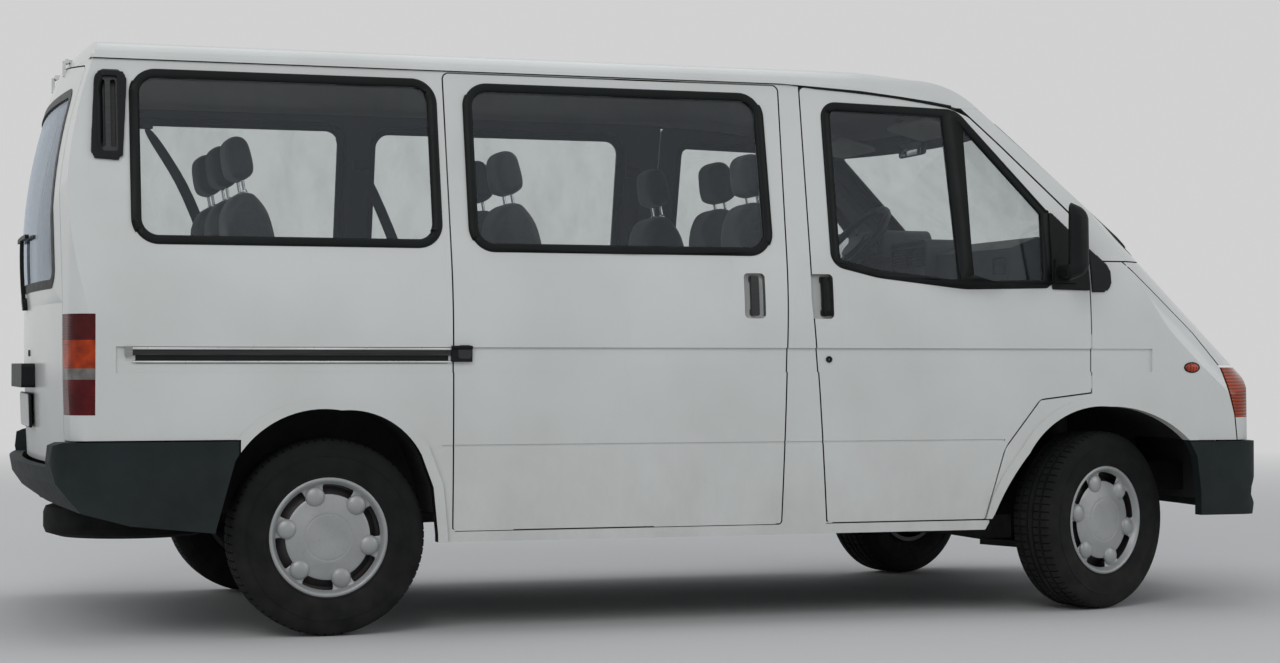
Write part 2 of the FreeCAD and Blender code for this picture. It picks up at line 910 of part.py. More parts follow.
def rear_bumper():
    curve = val("tailCurve")
    tip = -val("rearOverhang")
    rows = [(tip + 30, 650), (tip + 6, 640), (tip, 585), (tip + 12, 518), (tip + 52, 460), (tip + 88, 416), (tip + 150, 345)]
    profile = [(200, 345), (200, 650)] + rows
    profile = [(curve - x, z) for x, z in profile]
    half = val("beltHalfWidth") + 1
    outline = [
        (aft(-1200), 0, 0),
        (aft(-880), half, 90),
        (aft(-100), half, 0),
        (aft(-100), -half, 0),
        (aft(-880), -half, 90),
    ]
    under = polygon([(aft(-100), 200), (aft(-100), 345), (aft(-385), 352), (aft(-653), 380), (aft(-779), 415),
                     (aft(-885), 445), (aft(-1000), 520), (aft(-1000), 200)])
    trims = [
        prism(wire(rear_lip(), sideways), -far, far, Vector(0, 1, 0)),
        block(aft(-305), aft(100), -far, far, 0, far),
        prism(under, -far, far, Vector(0, 1, 0)),
        block(aft(-1100), aft(-700), -838, 838, 568, 700),
    ]
    mount = block(aft(-950), aft(-790) - val("seat"), 405, 475, 450, 510)
    bumper("bumper_rear", profile, aft(curve), 90, outline, trims, mount)


def door_pin(low):
    # a hinge pin on the door's pivot line, in the gap at the wing's edge
    x, y, long = fore(-35.5), -958, 48
    pin = Part.makeCylinder(2.2, long, Vector(x, y, low))
    return pin.fuse(block(x - 4, x, y - 1.2, y + 1.2, low, low + long))


def front_door(side):
    tag = "right" if side == right else "left"
    door = wall_shell.common(side_slab(door_outline(), right))
    door = door.cut(side_slab(door_window(), right, seal_edge))
    door = door.cut(cup(right, fore(-1180), fore(val("doorPull") + val("cupWidth") / 2 - 10)))
    for low in (812, 962):
        door = door.fuse(door_pin(low))
    bar = polygon([(fore(-572), 1900), (fore(-557), 1100), (fore(-502), 1100), (fore(-517), 1900)])
    glass = glass_shell.common(side_slab(door_window(), right, pane_inset)).cut(side_slab(bar, right, seal_edge))
    trim = side_ring(door_window(), right, bar)
    fittings = Part.Compound([solids(trim), pull(right, fore(val("doorPull"))), mirror_solid()])
    for label, piece in zip(("door_", "door_glass_", "door_trim_"), (solids(door), solids(glass), fittings)):
        keep(label + tag, piece if side == right else mirrored(piece))


def mirror_solid():
    # plate over the window's front corner, an arm and an upright head with a hollow for its glass
    plate = polygon([(fore(-196), 1120), (fore(-44), 1120), (fore(-44), 1300), (fore(-150), 1412), (fore(-196), 1412)])
    plate = plate_shell.common(side_slab(plate, right))
    plate = plate.cut(body_solid(-val("sealProud") - val("seat")).common(side_slab(door_window(), right, seal_edge)))
    rows = [(fore(-128), -1004, 24), (fore(-128), -1142, 14), (fore(-100), -1142, 24), (fore(-56), -1100, 40),
            (fore(-52), -1004, 24)]
    head = Part.Face(rounded(rows, plan))
    head.translate(Vector(0, 0, val("mirrorLow")))
    head = head.extrude(Vector(0, 0, val("mirrorHeight")))
    rims = [edge for edge in head.Edges if edge.BoundBox.ZLength < 1]
    head = head.makeFillet(10, rims)
    low, high = val("mirrorLow") + 14, val("mirrorLow") + val("mirrorHeight") - 14
    head = head.cut(block(fore(-140), fore(-120), -1126, -1018, low, high))
    arm = link([(fore(-84), val("mirrorLow") + 30), (fore(-84), val("mirrorLow") + 62)], 38, -1010, -900)
    arm = arm.cut(body_solid(-val("seat")))
    return solids(head.fuse([arm, solids(plate)]))


def tailgate():
    door = wall_shell.common(end_slab(tailgate_outline(), False))
    door = door.cut(end_slab(rear_pane(), False, seal_edge))
    lugs = [hinge_lug(side, True).cut(body_solid(wall)) for side in (right, left)]
    keep("tailgate", solids(door.fuse(lugs)))
    keep("tailgate_glass", solids(glass_shell.common(end_slab(rear_pane(), False, pane_inset))))
    seal = end_ring(rear_pane(), False)
    rows = [(-300, 821, 12), (300, 821, 12), (300, 904, 12), (-300, 904, 12)]
    housing = end_slab(rounded(rows, endways), False).common(block(aft(-955), aft(-900), -far, far, 0, far))
    housing = housing.cut(body_solid(-val("seat")))
    rows = [(-30, 1092, 14), (30, 1092, 14), (30, 1136, 14), (-30, 1136, 14)]
    base = near_shell.common(end_slab(rounded(rows, endways), False))
    arm = [(-11, 1110, 0), (11, 1110, 0), (8, 1345, 4), (-8, 1345, 4)]
    arm = lift_shell.common(end_slab(rounded(arm, endways), False))
    blade = [(-215, 1338, 4), (215, 1338, 4), (215, 1352, 4), (-215, 1352, 4)]
    blade = lift_shell.common(end_slab(rounded(blade, endways), False))
    wiper = solids(base.fuse([arm, blade]))
    keep("tailgate_trim", Part.Compound([solids(seal), solids(housing), wiper]))


def vents():
    # corner vents with two upright slots each
    shapes = []
    for side in (right, left):
        vent = wall_shell.common(vent_slab(side))
        for x in (-742, -708):
            outline = rounded([(aft(x), 1606, 8), (aft(x + 17), 1606, 8), (aft(x + 17), 1832, 8), (aft(x), 1832, 8)],
                              sideways)
            vent = vent.cut(cup_shell.common(side_slab(outline, side)))
        shapes += vent.Solids
    return shapes


def track():
    # rail of the sliding door along the band, with a cap at each end
    rail = block(aft(-648), aft(400), -far, far, 930, 955).common(outer.cut(body_solid(val("bandDepth") - 0.3)))
    groove = block(aft(-640), aft(390), -far, far, 938, 947).common(outer.cut(body_solid(4)))
    rail = rail.cut(groove)
    caps = plate_shell.fuse(outer.cut(body_solid(val("bandDepth") - 0.3)))
    rear = caps.common(block(aft(-672), aft(-648), -far, far, 926, val("bandTop") - val("seat")))
    shapes = [one for one in rail.fuse(rear).Solids if one.CenterOfMass.y < 0]
    rows = [(aft(424), 920, 10), (aft(470), 920, 10), (aft(470), 965, 10), (aft(424), 965, 10)]
    front = plate_shell.common(side_slab(rounded(rows, sideways), right))
    return shapes + front.Solids


def wing_caps():
    # black caps on the wings, ahead of the mirrors
    rows = [(fore(-24), 1204, 0), (fore(10), 1204, 10), (fore(40), 1266, 16), (fore(4), 1300, 10), (fore(-24), 1316, 0)]
    shapes = []
    for side in (right, left):
        shapes += plate_shell.common(side_slab(rounded(rows, sideways), side)).Solids
    return shapes


def side_trim():
    pieces = vents() + track() + wing_caps() + pull(right, aft(val("sliderPull"))).Solids
    keep("side_trim", Part.Compound(pieces))


# Floor, wheel housings and bulkhead.

def housing(lip, side, inner):
    grow, thick = val("linerGap"), val("linerThickness")
    skin = side_slab(wire(lip, sideways), side, grow + thick, inner=inner, outer=930)
    hollow = side_slab(wire(lip, sideways), side, grow, inner=inner + thick, outer=940)
    return skin.cut(hollow).common(cabin)


def floor():
    top, low = val("floorTop"), val("floorTop") - val("floorThickness")
    plate = cabin.common(block(aft(-800), fore(-375), -far, far, low, top))
    for side in (right, left):
        plate = plate.cut(side_slab(wire(rear_lip(), sideways), side, val("linerGap"), inner=val("rearInnerArch"), outer=1200))
        plate = plate.fuse(housing(rear_lip(), side, val("rearInnerArch")))
        plate = plate.cut(side_slab(wire(front_lip(), sideways), side, val("linerGap"), inner=val("frontInnerWing"), outer=1200))
    plate = plate.cut(block(aft(-900), fore(-375), -far, far, 0, 400))
    keep("floor_pan", solids(plate))


def bulkhead():
    low, top = val("floorTop") - val("floorThickness"), val("floorTop")
    rows = [(-374.7, low), (-374.7, top), (-335, top), (36, 905), (36, 1268), (50, 1268), (50, 900), (-328, low)]
    sheet_metal = prism(polygon([(fore(x), z) for x, z in rows]), -far, far, Vector(0, 1, 0)).common(cabin)
    for side in (right, left):
        sheet_metal = sheet_metal.cut(side_slab(wire(front_lip(), sideways), side, val("linerGap"),
                                                inner=val("frontInnerWing"), outer=1200))
        sheet_metal = sheet_metal.fuse(housing(front_lip(), side, val("frontInnerWing")))
    sheet_metal = sheet_metal.cut(block(fore(-900), fore(900), -far, far, 0, 330))
    sheet_metal = sheet_metal.cut(block(fore(370), fore(900), -far, far, 0, far))
    pivot = link([(fore(52), 1260), (fore(108), 1277)], 16, 712 + val("seat"), 740)
    sheet_metal = sheet_metal.fuse([pivot, mirrored(pivot)])
    keep("bulkhead", solids(sheet_metal))


# Sketch helpers: every point is held by two distances that read their sizes from the sheet.

def worth(text):
    return float(sheet.evalExpression(cells(text)))


def on_plane(body, label, role, lift="0"):
    drawn = body.newObject("Sketcher::SketchObject", label)
    planes = [one for one in body.Origin.OriginFeatures if one.Role == role]
    drawn.AttachmentSupport = [(planes[0], "")]
    drawn.MapMode = "FlatFace"
    drawn.setExpression("AttachmentOffset.Base.z", cells(lift))
    return drawn


def hold(drawn, kind, first, second, text):
    index = drawn.addConstraint(Sketcher.Constraint(kind, -1, 1, first, second, worth(text)))
    drawn.setExpression("Constraints[%d]" % index, cells(text))


def corners(body, label, role, rows, lift="0"):
    # each row is (across, up) of a corner, joined by straight lines
    drawn = on_plane(body, label, role, lift)
    spots = [Vector(worth(a), worth(b), 0) for a, b in rows]
    count = len(rows)
    for index in range(count):
        drawn.addGeometry(Part.LineSegment(spots[index], spots[(index + 1) % count]), False)
    for index in range(count):
        drawn.addConstraint(Sketcher.Constraint("Coincident", index, 2, (index + 1) % count, 1))
    for index, (a, b) in enumerate(rows):
        hold(drawn, "DistanceX", index, 1, a)
        hold(drawn, "DistanceY", index, 1, b)
    return drawn


def circles(body, label, role, rows, lift="0"):
    # each row is (across, up, radius)
    drawn = on_plane(body, label, role, lift)
    for index, (a, b, radius) in enumerate(rows):
        drawn.addGeometry(Part.Circle(Vector(worth(a), worth(b), 0), Vector(0, 0, 1), worth(radius)), False)
        size_of = drawn.addConstraint(Sketcher.Constraint("Radius", index, worth(radius)))
        drawn.setExpression("Constraints[%d]" % size_of, cells(radius))
        hold(drawn, "DistanceX", index, 3, a)
        hold(drawn, "DistanceY", index, 3, b)
    return drawn


def new_body(label):
    body = doc.addObject("PartDesign::Body", label)
    body.Label = label
    parts.append(body)
    return body


def spun(body, label, drawn):
    turned_up = body.newObject("PartDesign::Revolution", label)
    turned_up.Profile = drawn
    turned_up.ReferenceAxis = (drawn, ["V_Axis"])
    turned_up.Angle = 360
    return turned_up


def pushed(body, label, drawn, length, middle=False, back=False):
    pad = body.newObject("PartDesign::Pad", label)
    pad.Profile = drawn
    pad.setExpression("Length", cells(length))
    pad.Midplane = middle
    pad.Reversed = back
    return pad


def cut_through(body, label, drawn):
    pocket = body.newObject("PartDesign::Pocket", label)
    pocket.Profile = drawn
    pocket.Type = 1
    pocket.Midplane = True
    return pocket


def repeated(body, label, feature, drawn, count):
    # the pattern turns about the line that its sketch faces along
    body.Tip = feature
    pattern = body.newObject("PartDesign::PolarPattern", label)
    pattern.Originals = [feature]
    pattern.Axis = (drawn, ["N_Axis"])
    pattern.Angle = 360
    pattern.setExpression("Occurrences", cells(count))
    body.Tip = pattern
    return pattern


def reflected(body, label, features, role):
    body.Tip = features[-1]
    twin = body.newObject("PartDesign::Mirrored", label)
    twin.Originals = features
    planes = [one for one in body.Origin.OriginFeatures if one.Role == role]
    twin.MirrorPlane = (planes[0], [""])
    body.Tip = twin
    return twin


def primitive(kind, label, spot, turn=Rotation(), **sizes):
    # a solid whose sizes and place read the sheet
    thing = doc.addObject("Part::" + kind, label)
    thing.Placement = Placement(Vector(0, 0, 0), turn)
    for name, text in sizes.items():
        thing.setExpression(name, cells(text))
    for axis, text in zip("xyz", spot):
        thing.setExpression("Placement.Base." + axis, cells(text))
    return thing


def bar(label, x, y, z, long, wide, tall):
    return primitive("Box", label, (x, y, z), Length=long, Width=wide, Height=tall)


def gathered(label, pieces, kind="Part::MultiFuse"):
    whole = doc.addObject(kind, label)
    whole.Label = label
    if kind == "Part::Compound":
        whole.Links = pieces
    else:
        whole.Shapes = pieces
    parts.append(whole)
    return whole


def underframe():
    # two rails with cross members, and tow-bar holes up into the rails at the rear
    deep, low = "railDepth", "floorUnder - railDepth"
    pieces = []
    for name, edge in (("railRight", "-railTrack - railWidth / 2"), ("railLeft", "railTrack - railWidth / 2")):
        pieces.append(bar(name, "axleRear - 790", edge, low, "wheelbase + 1420 - seat", "railWidth", deep))
    for index, start in enumerate(("axleRear - 780", "axleRear - 450", "axleRear + 450", "axleRear + 1100",
                                   "axleFront - 720", "axleFront + 560")):
        pieces.append(bar("cross%d" % index, start, "-railTrack", low + " + 20", "60", "2 * railTrack", deep + " - 40"))
    frame = doc.addObject("Part::MultiFuse", "ladder")
    frame.Shapes = pieces
    holes = []
    for index, (x, y) in enumerate(((1, 1), (1, -1), (-1, 1), (-1, -1))):
        spot = ("axleRear - towBarBack + %d * towBarPitch / 2" % x, "%d * railTrack" % y, low + " - 1")
        holes.append(primitive("Cylinder", "towBarHole%d" % index, spot, Radius="towBarHole", Height="towBarDepth + 1"))
    drill = doc.addObject("Part::MultiFuse", "towBarHoles")
    drill.Shapes = holes
    whole = doc.addObject("Part::Cut", "underframe")
    whole.Label = "underframe"
    whole.Base = frame
    whole.Tool = drill
    parts.append(whole)


# Wheels: built about the Y axis, with the outer face towards +Y.

def tyre(label):
    body = new_body(label)
    half = [
        ("beadRadius", "78"),
        ("206", "80"),
        ("238", "tyreWidth / 2 - 5"),
        ("262", "tyreWidth / 2"),
        ("290", "tyreWidth / 2 - 3"),
        ("308", "tyreWidth / 2 - 9"),
        ("tyreRadius - 7", "tyreWidth / 2 - 18"),
        ("tyreRadius", "tyreWidth / 2 - 35"),
    ]
    rows = half + [(reach, "-(%s)" % along) for reach, along in reversed(half)]
    spun(body, label + "_turned", corners(body, label + "_profile", "XY_Plane", rows))
    return body


def rim(label):
    # turned disc and barrel, six domed bosses and six slots between them
    body = new_body(label)
    rows = [
        ("stubRadius + stubClearance", "hubFace + seat - wheelPlane"),
        ("hubRadius", "hubFace + seat - wheelPlane"),
        ("hubRadius + 10", "discBack"),
        ("barrelRadius", "discBack"),
        ("barrelRadius", "-flangeReach"),
        ("beadRadius - 0.3", "-flangeReach"),
        ("beadRadius - 0.3", "80"),
        ("trimRadius - 2", "80"),
        ("trimRadius", "84"),
        ("trimRadius - 4", "91"),
        ("trimRadius - 9", "93"),
        ("beadRadius - 6", "91"),
        ("beadRadius - 14", "76"),
        ("slotCircle", "63"),
        ("capRadius + 12", "67"),
        ("capRadius + 1", "72"),
        ("capRadius", "74"),
        ("0", "76"),
        ("0", "-10"),
        ("stubRadius + stubClearance", "-10"),
    ]
    spun(body, label + "_turned", corners(body, label + "_profile", "XY_Plane", rows))
    domes = [("40", "bossRadius"), ("70", "bossRadius - 3"), ("76", "bossRadius - 10"), ("80", "bossRadius - 20")]
    low = domes[0]
    for index, (height, radius) in enumerate(domes):
        drawn = circles(body, "%s_boss%d" % (label, index), "XZ_Plane", [("bossCircle", "0", radius)])
        last = pushed(body, "%s_dome%d" % (label, index), drawn, height, back=True)
        repeated(body, "%s_bosses%d" % (label, index), last, drawn, "bossCount")
    reach_in, reach_out = "(slotCircle - slotHeight / 2)", "(slotCircle + slotHeight / 2)"
    table = [(reach_in, -14), (reach_in, -5), (reach_in, 5), (reach_in, 14), ("slotCircle", 17), (reach_out, 13),
             (reach_out, 5), (reach_out, -5), (reach_out, -13), ("slotCircle", -17)]
    rows = [("%s * cos(%d deg)" % (reach, 30 + turn), "%s * sin(%d deg)" % (reach, 30 + turn))
            for reach, turn in table]
    drawn = corners(body, label + "_slotOutline", "XZ_Plane", rows)
    slot = cut_through(body, label + "_slot", drawn)
    repeated(body, label + "_slots", slot, drawn, "bossCount")
    return body


def steered(side):
    pin = Vector(frontAxle, side * val("kingpinTrack"), 0)
    return Placement(Vector(0, 0, 0), Rotation(Vector(0, 0, 1), val("steerAngle")), pin)


def wheel_place(front, side):
    turn = Rotation(Vector(0, 0, 1), 0 if side == left else 180)
    clock = Rotation(Vector(0, 1, 0), -val("bossAngle") if side == left else val("bossAngle") - 180)
    x = frontAxle if front else rearAxle
    place = Placement(Vector(x, side * val("wheelPlane"), val("tyreRadius")), turn.multiply(clock))
    if front:
        place = steered(side).multiply(place)
    return place


def wheels():
    for front, end in ((True, "front"), (False, "rear")):
        for side, tag in ((right, "right"), (left, "left")):
            place = wheel_place(front, side)
            tyre("tyre_%s_%s" % (end, tag)).Placement = place
            rim("rim_%s_%s" % (end, tag)).Placement = place


def knuckle(side):
    # upright on the kingpin's line with the stub axle, drawn about the point where both cross
    label = "knuckle_right" if side == right else "knuckle_left"
    body = new_body(label)
    hub = "(hubFace - kingpinTrack)"
    rows = [
        ("0", hub + " - 16"),
        ("hubRadius - 8", hub + " - 16"),
        ("hubRadius - 8", hub),
        ("stubRadius", hub),
        ("stubRadius", hub + " + stubLength"),
        ("0", hub + " + stubLength"),
    ]
    spun(body, label + "_stub", corners(body, label + "_stubProfile", "XY_Plane", rows))
    post = circles(body, label + "_postRing", "XY_Plane", [("0", "-postOffset", "postRadius")])
    pushed(body, label + "_post", post, "2 * postReach", middle=True)
    rear = "-" if side == left else ""
    arm = [("0", "-30"), (rear + "armReach", "-30"), (rear + "armReach", "-10"), ("0", "-10")]
    drawn = corners(body, label + "_armOutline", "XY_Plane", arm, "-armDrop")
    pushed(body, label + "_arm", drawn, "20")
    ring_of = circles(body, label + "_pinRing", "XY_Plane", [("0", "0", "kingpinRadius")], "pinStart")
    pin = pushed(body, label + "_pin", ring_of, "pinLength")
    reflected(body, label + "_pins", [pin], "XY_Plane")
    spot = Vector(frontAxle, side * val("kingpinTrack"), val("tyreRadius"))
    ahead = Placement(spot, Rotation(Vector(0, 0, 1), 0 if side == left else 180))
    body.Placement = steered(side).multiply(ahead)


def front_suspension():
    pin, axle = val("kingpinTrack"), val("tyreRadius")
    low = axle - 100 - val("seat")
    arm = polygon([(frontAxle - 180, 330), (frontAxle - 22, pin + 22), (frontAxle + 22, pin + 22), (frontAxle + 180, 330)],
                  plan)
    arm = Part.Face(arm)
    arm.translate(Vector(0, 0, low - 24))
    arm = arm.extrude(Vector(0, 0, 24))
    beam = block(frontAxle - 60, frontAxle + 60, -360, 360, low - 24, low + 90)
    top = axle + 100 + val("seat")
    foot = block(frontAxle - 22, frontAxle + 22, 600, pin + 22, top, top + 24)
    hole = Part.makeCylinder(val("kingpinRadius") + val("pinClearance"), 300, Vector(frontAxle, pin, axle - 150))
    arch = side_slab(wire(front_lip(), sideways), left, val("linerGap") - val("seat"))
    strut = Part.makeCylinder(34, 460, Vector(frontAxle, 632, top)).common(arch)
    arm, foot = arm.cut(hole), foot.cut(hole)
    tie = block(frontAxle - 50, frontAxle + 50, 370, 410, low - 24, 409.7)
    shape = beam.fuse([arm, mirrored(arm), tie, mirrored(tie)])
    struts = foot.fuse(strut)
    keep("front_suspension", Part.Compound([shape, struts, mirrored(struts)]))


def rear_axle():
    axle, hub = val("tyreRadius"), val("hubFace")
    tube = Part.makeCylinder(val("axleTube"), 2 * hub - 40, Vector(rearAxle, 20 - hub, axle), Vector(0, 1, 0))
    casing = Part.makeSphere(val("diffRadius"), Vector(rearAxle, 0, axle))
    shape = tube.fuse(casing)
    for side in (right, left):
        drum = Part.makeCylinder(125, 60, Vector(rearAxle, side * (hub - 60), axle), Vector(0, side, 0))
        stub = Part.makeCylinder(val("stubRadius"), 55, Vector(rearAxle, side * (hub - 10), axle), Vector(0, side, 0))
        shape = shape.fuse([drum, stub])
        track = val("springTrack")
        leaf = wire([
            (aft(-560), 440),
            (aft(0), 366, aft(600), 450),
            (aft(600), 474),
            (aft(0), 390, aft(-560), 464),
        ], sideways)
        leaf = prism(leaf, side * track - 30, side * track + 30, Vector(0, 1, 0))
        hangers = [block(aft(x), aft(x) + 30, side * track - 25, side * track + 25, 455, 519.7) for x in (-560, 570)]
        damper = Part.makeCylinder(22, 160, Vector(aft(-60), side * 600, 359.7))
        bracket = block(aft(-90), aft(-20), side * 600 - 25, side * 600 + 25, 330, 362)
        shape = shape.fuse([leaf] + hangers + [damper, bracket])
    keep("rear_axle", solids(shape))


def powertrain():
    # plain engine block, gearbox and propeller shaft
    engine = bar("engine", "axleFront + 60", "-engineWidth / 2", "engineLow", "engineLength", "engineWidth", "engineHeight")
    gearbox = bar("gearbox", "axleFront - 640", "-110", "330", "720", "220", "170")
    start, end = Vector(fore(-620), 0, 390), Vector(rearAxle + val("diffRadius") + 0.2, 0, 330)
    lean = Rotation(Vector(0, 0, 1), end - start)
    shaft = primitive("Cylinder", "shaft", ("axleFront - 620", "0", "390"), lean, Radius="shaftRadius")
    shaft.Height = (end - start).Length
    gathered("powertrain", [engine, gearbox, shaft])


def fuel_tank():
    body = new_body("fuel_tank")
    rows = [("0", "0"), ("tankLength", "0"), ("tankLength", "tankWidth"), ("0", "tankWidth")]
    tank = pushed(body, "tankBlock", corners(body, "tankOutline", "XY_Plane", rows), "tankHeight")
    edges = body.newObject("PartDesign::Fillet", "tankEdges")
    edges.Base = (tank, [""])
    edges.UseAllEdges = True
    edges.setExpression("Radius", cells("tankRound"))
    body.Tip = edges
    body.Placement = Placement(Vector(aft(620), 500, val("floorUnder") - val("tankHeight")), Rotation())


def exhaust():
    back = Rotation(Vector(0, 1, 0), -90)
    pipe = primitive("Cylinder", "pipe", ("axleFront - 100", "-exhaustTrack", "400"), back,
                     Radius="pipeRadius", Height="2900")
    box = primitive("Cylinder", "silencer", ("axleRear + 1300", "-exhaustTrack", "345"), back,
                    Radius="silencerRadius", Height="silencerLength")
    hanger = bar("hanger", "axleRear + 470", "-exhaustTrack - 6", "410", "20", "12", "floorUnder - railDepth + 20 - seat - 410")
    gathered("exhaust", [pipe, box, hanger])


def spare():
    # tyre and dished disc under the tail, held by one bolt
    body = new_body("spare_wheel")
    rows = [
        ("0", "60"), ("60", "60"), ("96", "40"), ("150", "34"), ("186", "10"),
        ("spareRadius - 55", "0"), ("spareRadius - 8", "14"), ("spareRadius", "34"),
        ("spareRadius", "sparePlies - 34"), ("spareRadius - 8", "sparePlies - 14"), ("spareRadius - 55", "sparePlies"),
        ("186", "sparePlies - 10"), ("176", "sparePlies - 30"), ("0", "sparePlies - 30"),
    ]
    spun(body, "spare_turned", corners(body, "spareProfile", "XZ_Plane", rows))
    ring_of = circles(body, "spareBoltRing", "XY_Plane", [("spareBolt", "0", "14")], "sparePlies - 40")
    bolt = pushed(body, "spareBoltPost", ring_of, "floorUnder - railDepth + 20 - seat - spareLow - sparePlies + 40")
    body.Tip = bolt
    body.Placement = Placement(Vector(aft(-560), 0, val("spareLow")), Rotation())


# Cabin.

def seat_solid(x, y, width, rests):
    base, tall = val("seatHeight") - val("cushionThickness"), val("seatHeight")
    cushion = block(x, x + 480, y - width / 2, y + width / 2, base, tall)
    cushion = cushion.makeFillet(35, cushion.Edges)
    back = Part.Face(polygon([(x - 20, base + 20), (x + 90, base + 20), (x - 30, tall + val("backHeight")),
                              (x - 130, tall + val("backHeight"))]))
    back.translate(Vector(0, y - width / 2, 0))
    back = back.extrude(Vector(0, width, 0))
    back = back.makeFillet(30, back.Edges)
    shape = cushion.fuse(back)
    for spot in rests:
        head = block(x - 150, x - 70, spot - val("headrestWidth") / 2, spot + val("headrestWidth") / 2,
                     tall + val("backHeight") + 25, tall + val("backHeight") + 25 + val("headrestHeight"))
        head = head.makeFillet(28, head.Edges)
        stalk = block(x - 118, x - 104, spot - 40, spot + 40, tall + val("backHeight") - 20,
                      tall + val("backHeight") + 40)
        shape = shape.fuse([head, stalk])
    return shape


def seats():
    driver = seat_solid(fore(-1180), 470, 500, (470,))
    passenger = seat_solid(fore(-1180), -435, 800, (-620, -280))
    keep("front_seats", Part.Compound([driver, passenger]))
    middle = seat_solid(aft(760), -180, 1290, (-600, -150, 300))
    keep("bench_middle", middle)
    rear = seat_solid(aft(-110), 0, 1150, (-400, 0, 400))
    keep("bench_rear", rear)
    table = [
        ("driverBase", "axleFront - 1180", 470, 500),
        ("passengerBase", "axleFront - 1180", -435, 800),
        ("middleBase", "axleRear + 760", -180, 1290),
        ("rearBase", "axleRear - 110", 0, 1150),
    ]
    legs = [bar(name, x + " + 60", "%g" % (y - width / 2 + 40), "floorTop + seat", "360", "%g" % (width - 80),
                "seatHeight - cushionThickness - floorTop - 2 * seat") for name, x, y, width in table]
    gathered("seat_frames", legs, "Part::Compound")


def dashboard():
    rows = [(35.7, 905), (-60, 900), (-250, 1080), (-300, 1180), (-290, 1330), (-180, 1372), (-20, 1340), (35.7, 1268)]
    block_shape = prism(polygon([(fore(x), z) for x, z in rows]), -820, 820, Vector(0, 1, 0)).common(cabin)
    shroud = Part.makeCylinder(42, 330, Vector(0, 0, -400)).copy()
    shroud.Placement = steering_place().multiply(shroud.Placement)
    shroud = shroud.common(block(far * -1, fore(35.7), -far, far, 0, far))
    keep("dashboard", solids(block_shape.fuse(shroud)))


def steering_place():
    return Placement(Vector(fore(-385), 450, 1400), Rotation(Vector(0, 1, 0), -val("steeringRake")))


def steering_wheel():
    # hub, column, three spokes and a round grip, drawn about the column's line
    body = new_body("steering_wheel")
    hub = circles(body, "wheelHubRing", "XY_Plane", [("0", "0", "wheelHubRadius")], "-wheelHubDepth")
    pushed(body, "wheelHub", hub, "wheelHubDepth")
    post = circles(body, "columnRing", "XY_Plane", [("0", "0", "columnRadius")], "seat - 70")
    pushed(body, "column", post, "40")
    half = "spokeWidth / 2"
    rows = [("0", "-" + half), ("0", half), ("-steeringWheelRadius", half), ("-steeringWheelRadius", "-" + half)]
    spoke = corners(body, "spokeOutline", "XY_Plane", rows, "-22")
    arm = pushed(body, "spoke", spoke, "16")
    repeated(body, "spokes", arm, spoke, "spokeCount")
    grip = circles(body, "gripRing", "XZ_Plane", [("steeringWheelRadius", "0", "steeringGrip")])
    body.Tip = spun(body, "grip", grip)
    body.Placement = steering_place()


def wipers():
    shapes = []
    for y in (-250, 350):
        blade = rounded([(y - 8, 1300, 0), (y + 8, 1300, 0), (y - 480, 1350, 0), (y - 490, 1336, 0)], endways)
        shapes += lift_shell.common(end_slab(blade, True)).Solids
    keep("wipers", Part.Compound(shapes))


roof()
for side in (right, left):
    side_panel(side)
slider()
side_glass()
window_seals()
screen()
wings()
bonnet()
nose()
front_bumper()
rear_bumper()
for side in (right, left):
    front_door(side)
tailgate()
tail_lamps()
side_trim()
floor()
bulkhead()
underframe()
wheels()
knuckle(right)
knuckle(left)
front_suspension()
rear_axle()
powertrain()
fuel_tank()
exhaust()
spare()
seats()
dashboard()
steering_wheel()
wipers()

doc.recompute()
os.makedirs("parts", exist_ok=True)
for part in parts:
    state = set(part.State)
    if state & {"Invalid", "Error"} or part.Shape.isNull() or not part.Shape.isValid():
        raise SystemExit("failed: %s %s" % (part.Label, sorted(state)))
for part in parts:
    part.Shape.exportStep("parts/%s.step" % part.Label)
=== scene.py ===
import bpy
import bmesh
import json
import math
from mathutils import Matrix, Vector

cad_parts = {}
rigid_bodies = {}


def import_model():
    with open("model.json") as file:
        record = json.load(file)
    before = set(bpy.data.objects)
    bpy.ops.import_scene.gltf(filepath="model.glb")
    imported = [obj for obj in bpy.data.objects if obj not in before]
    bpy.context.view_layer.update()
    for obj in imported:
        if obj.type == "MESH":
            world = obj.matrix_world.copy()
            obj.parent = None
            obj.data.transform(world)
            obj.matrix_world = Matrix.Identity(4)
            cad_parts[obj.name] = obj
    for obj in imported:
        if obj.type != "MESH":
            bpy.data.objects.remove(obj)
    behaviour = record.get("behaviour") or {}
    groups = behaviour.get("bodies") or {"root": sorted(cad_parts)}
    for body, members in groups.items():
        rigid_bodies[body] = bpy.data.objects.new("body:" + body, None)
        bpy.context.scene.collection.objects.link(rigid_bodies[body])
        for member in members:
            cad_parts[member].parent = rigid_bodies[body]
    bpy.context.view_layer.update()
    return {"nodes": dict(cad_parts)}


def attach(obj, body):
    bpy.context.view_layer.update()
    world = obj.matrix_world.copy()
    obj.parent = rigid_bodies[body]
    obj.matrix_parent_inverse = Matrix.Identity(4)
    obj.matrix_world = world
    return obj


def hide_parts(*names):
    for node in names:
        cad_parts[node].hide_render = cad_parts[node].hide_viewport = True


# A full-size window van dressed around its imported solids. Metres, +X forward, +Y left, +Z up.

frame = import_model()
nodes = frame["nodes"]
rearAxleX = -1.344
frontAxleX = 1.491
sides = ((-1, "right"), (1, "left"))


def aft(x):
    return rearAxleX + x


def fore(x):
    return frontAxleX + x


# Modelling helpers: each works on the active piece, as by hand.

def clearAll():
    if bpy.context.mode != "OBJECT":
        bpy.ops.object.mode_set(mode="OBJECT")
    bpy.ops.object.select_all(action="DESELECT")


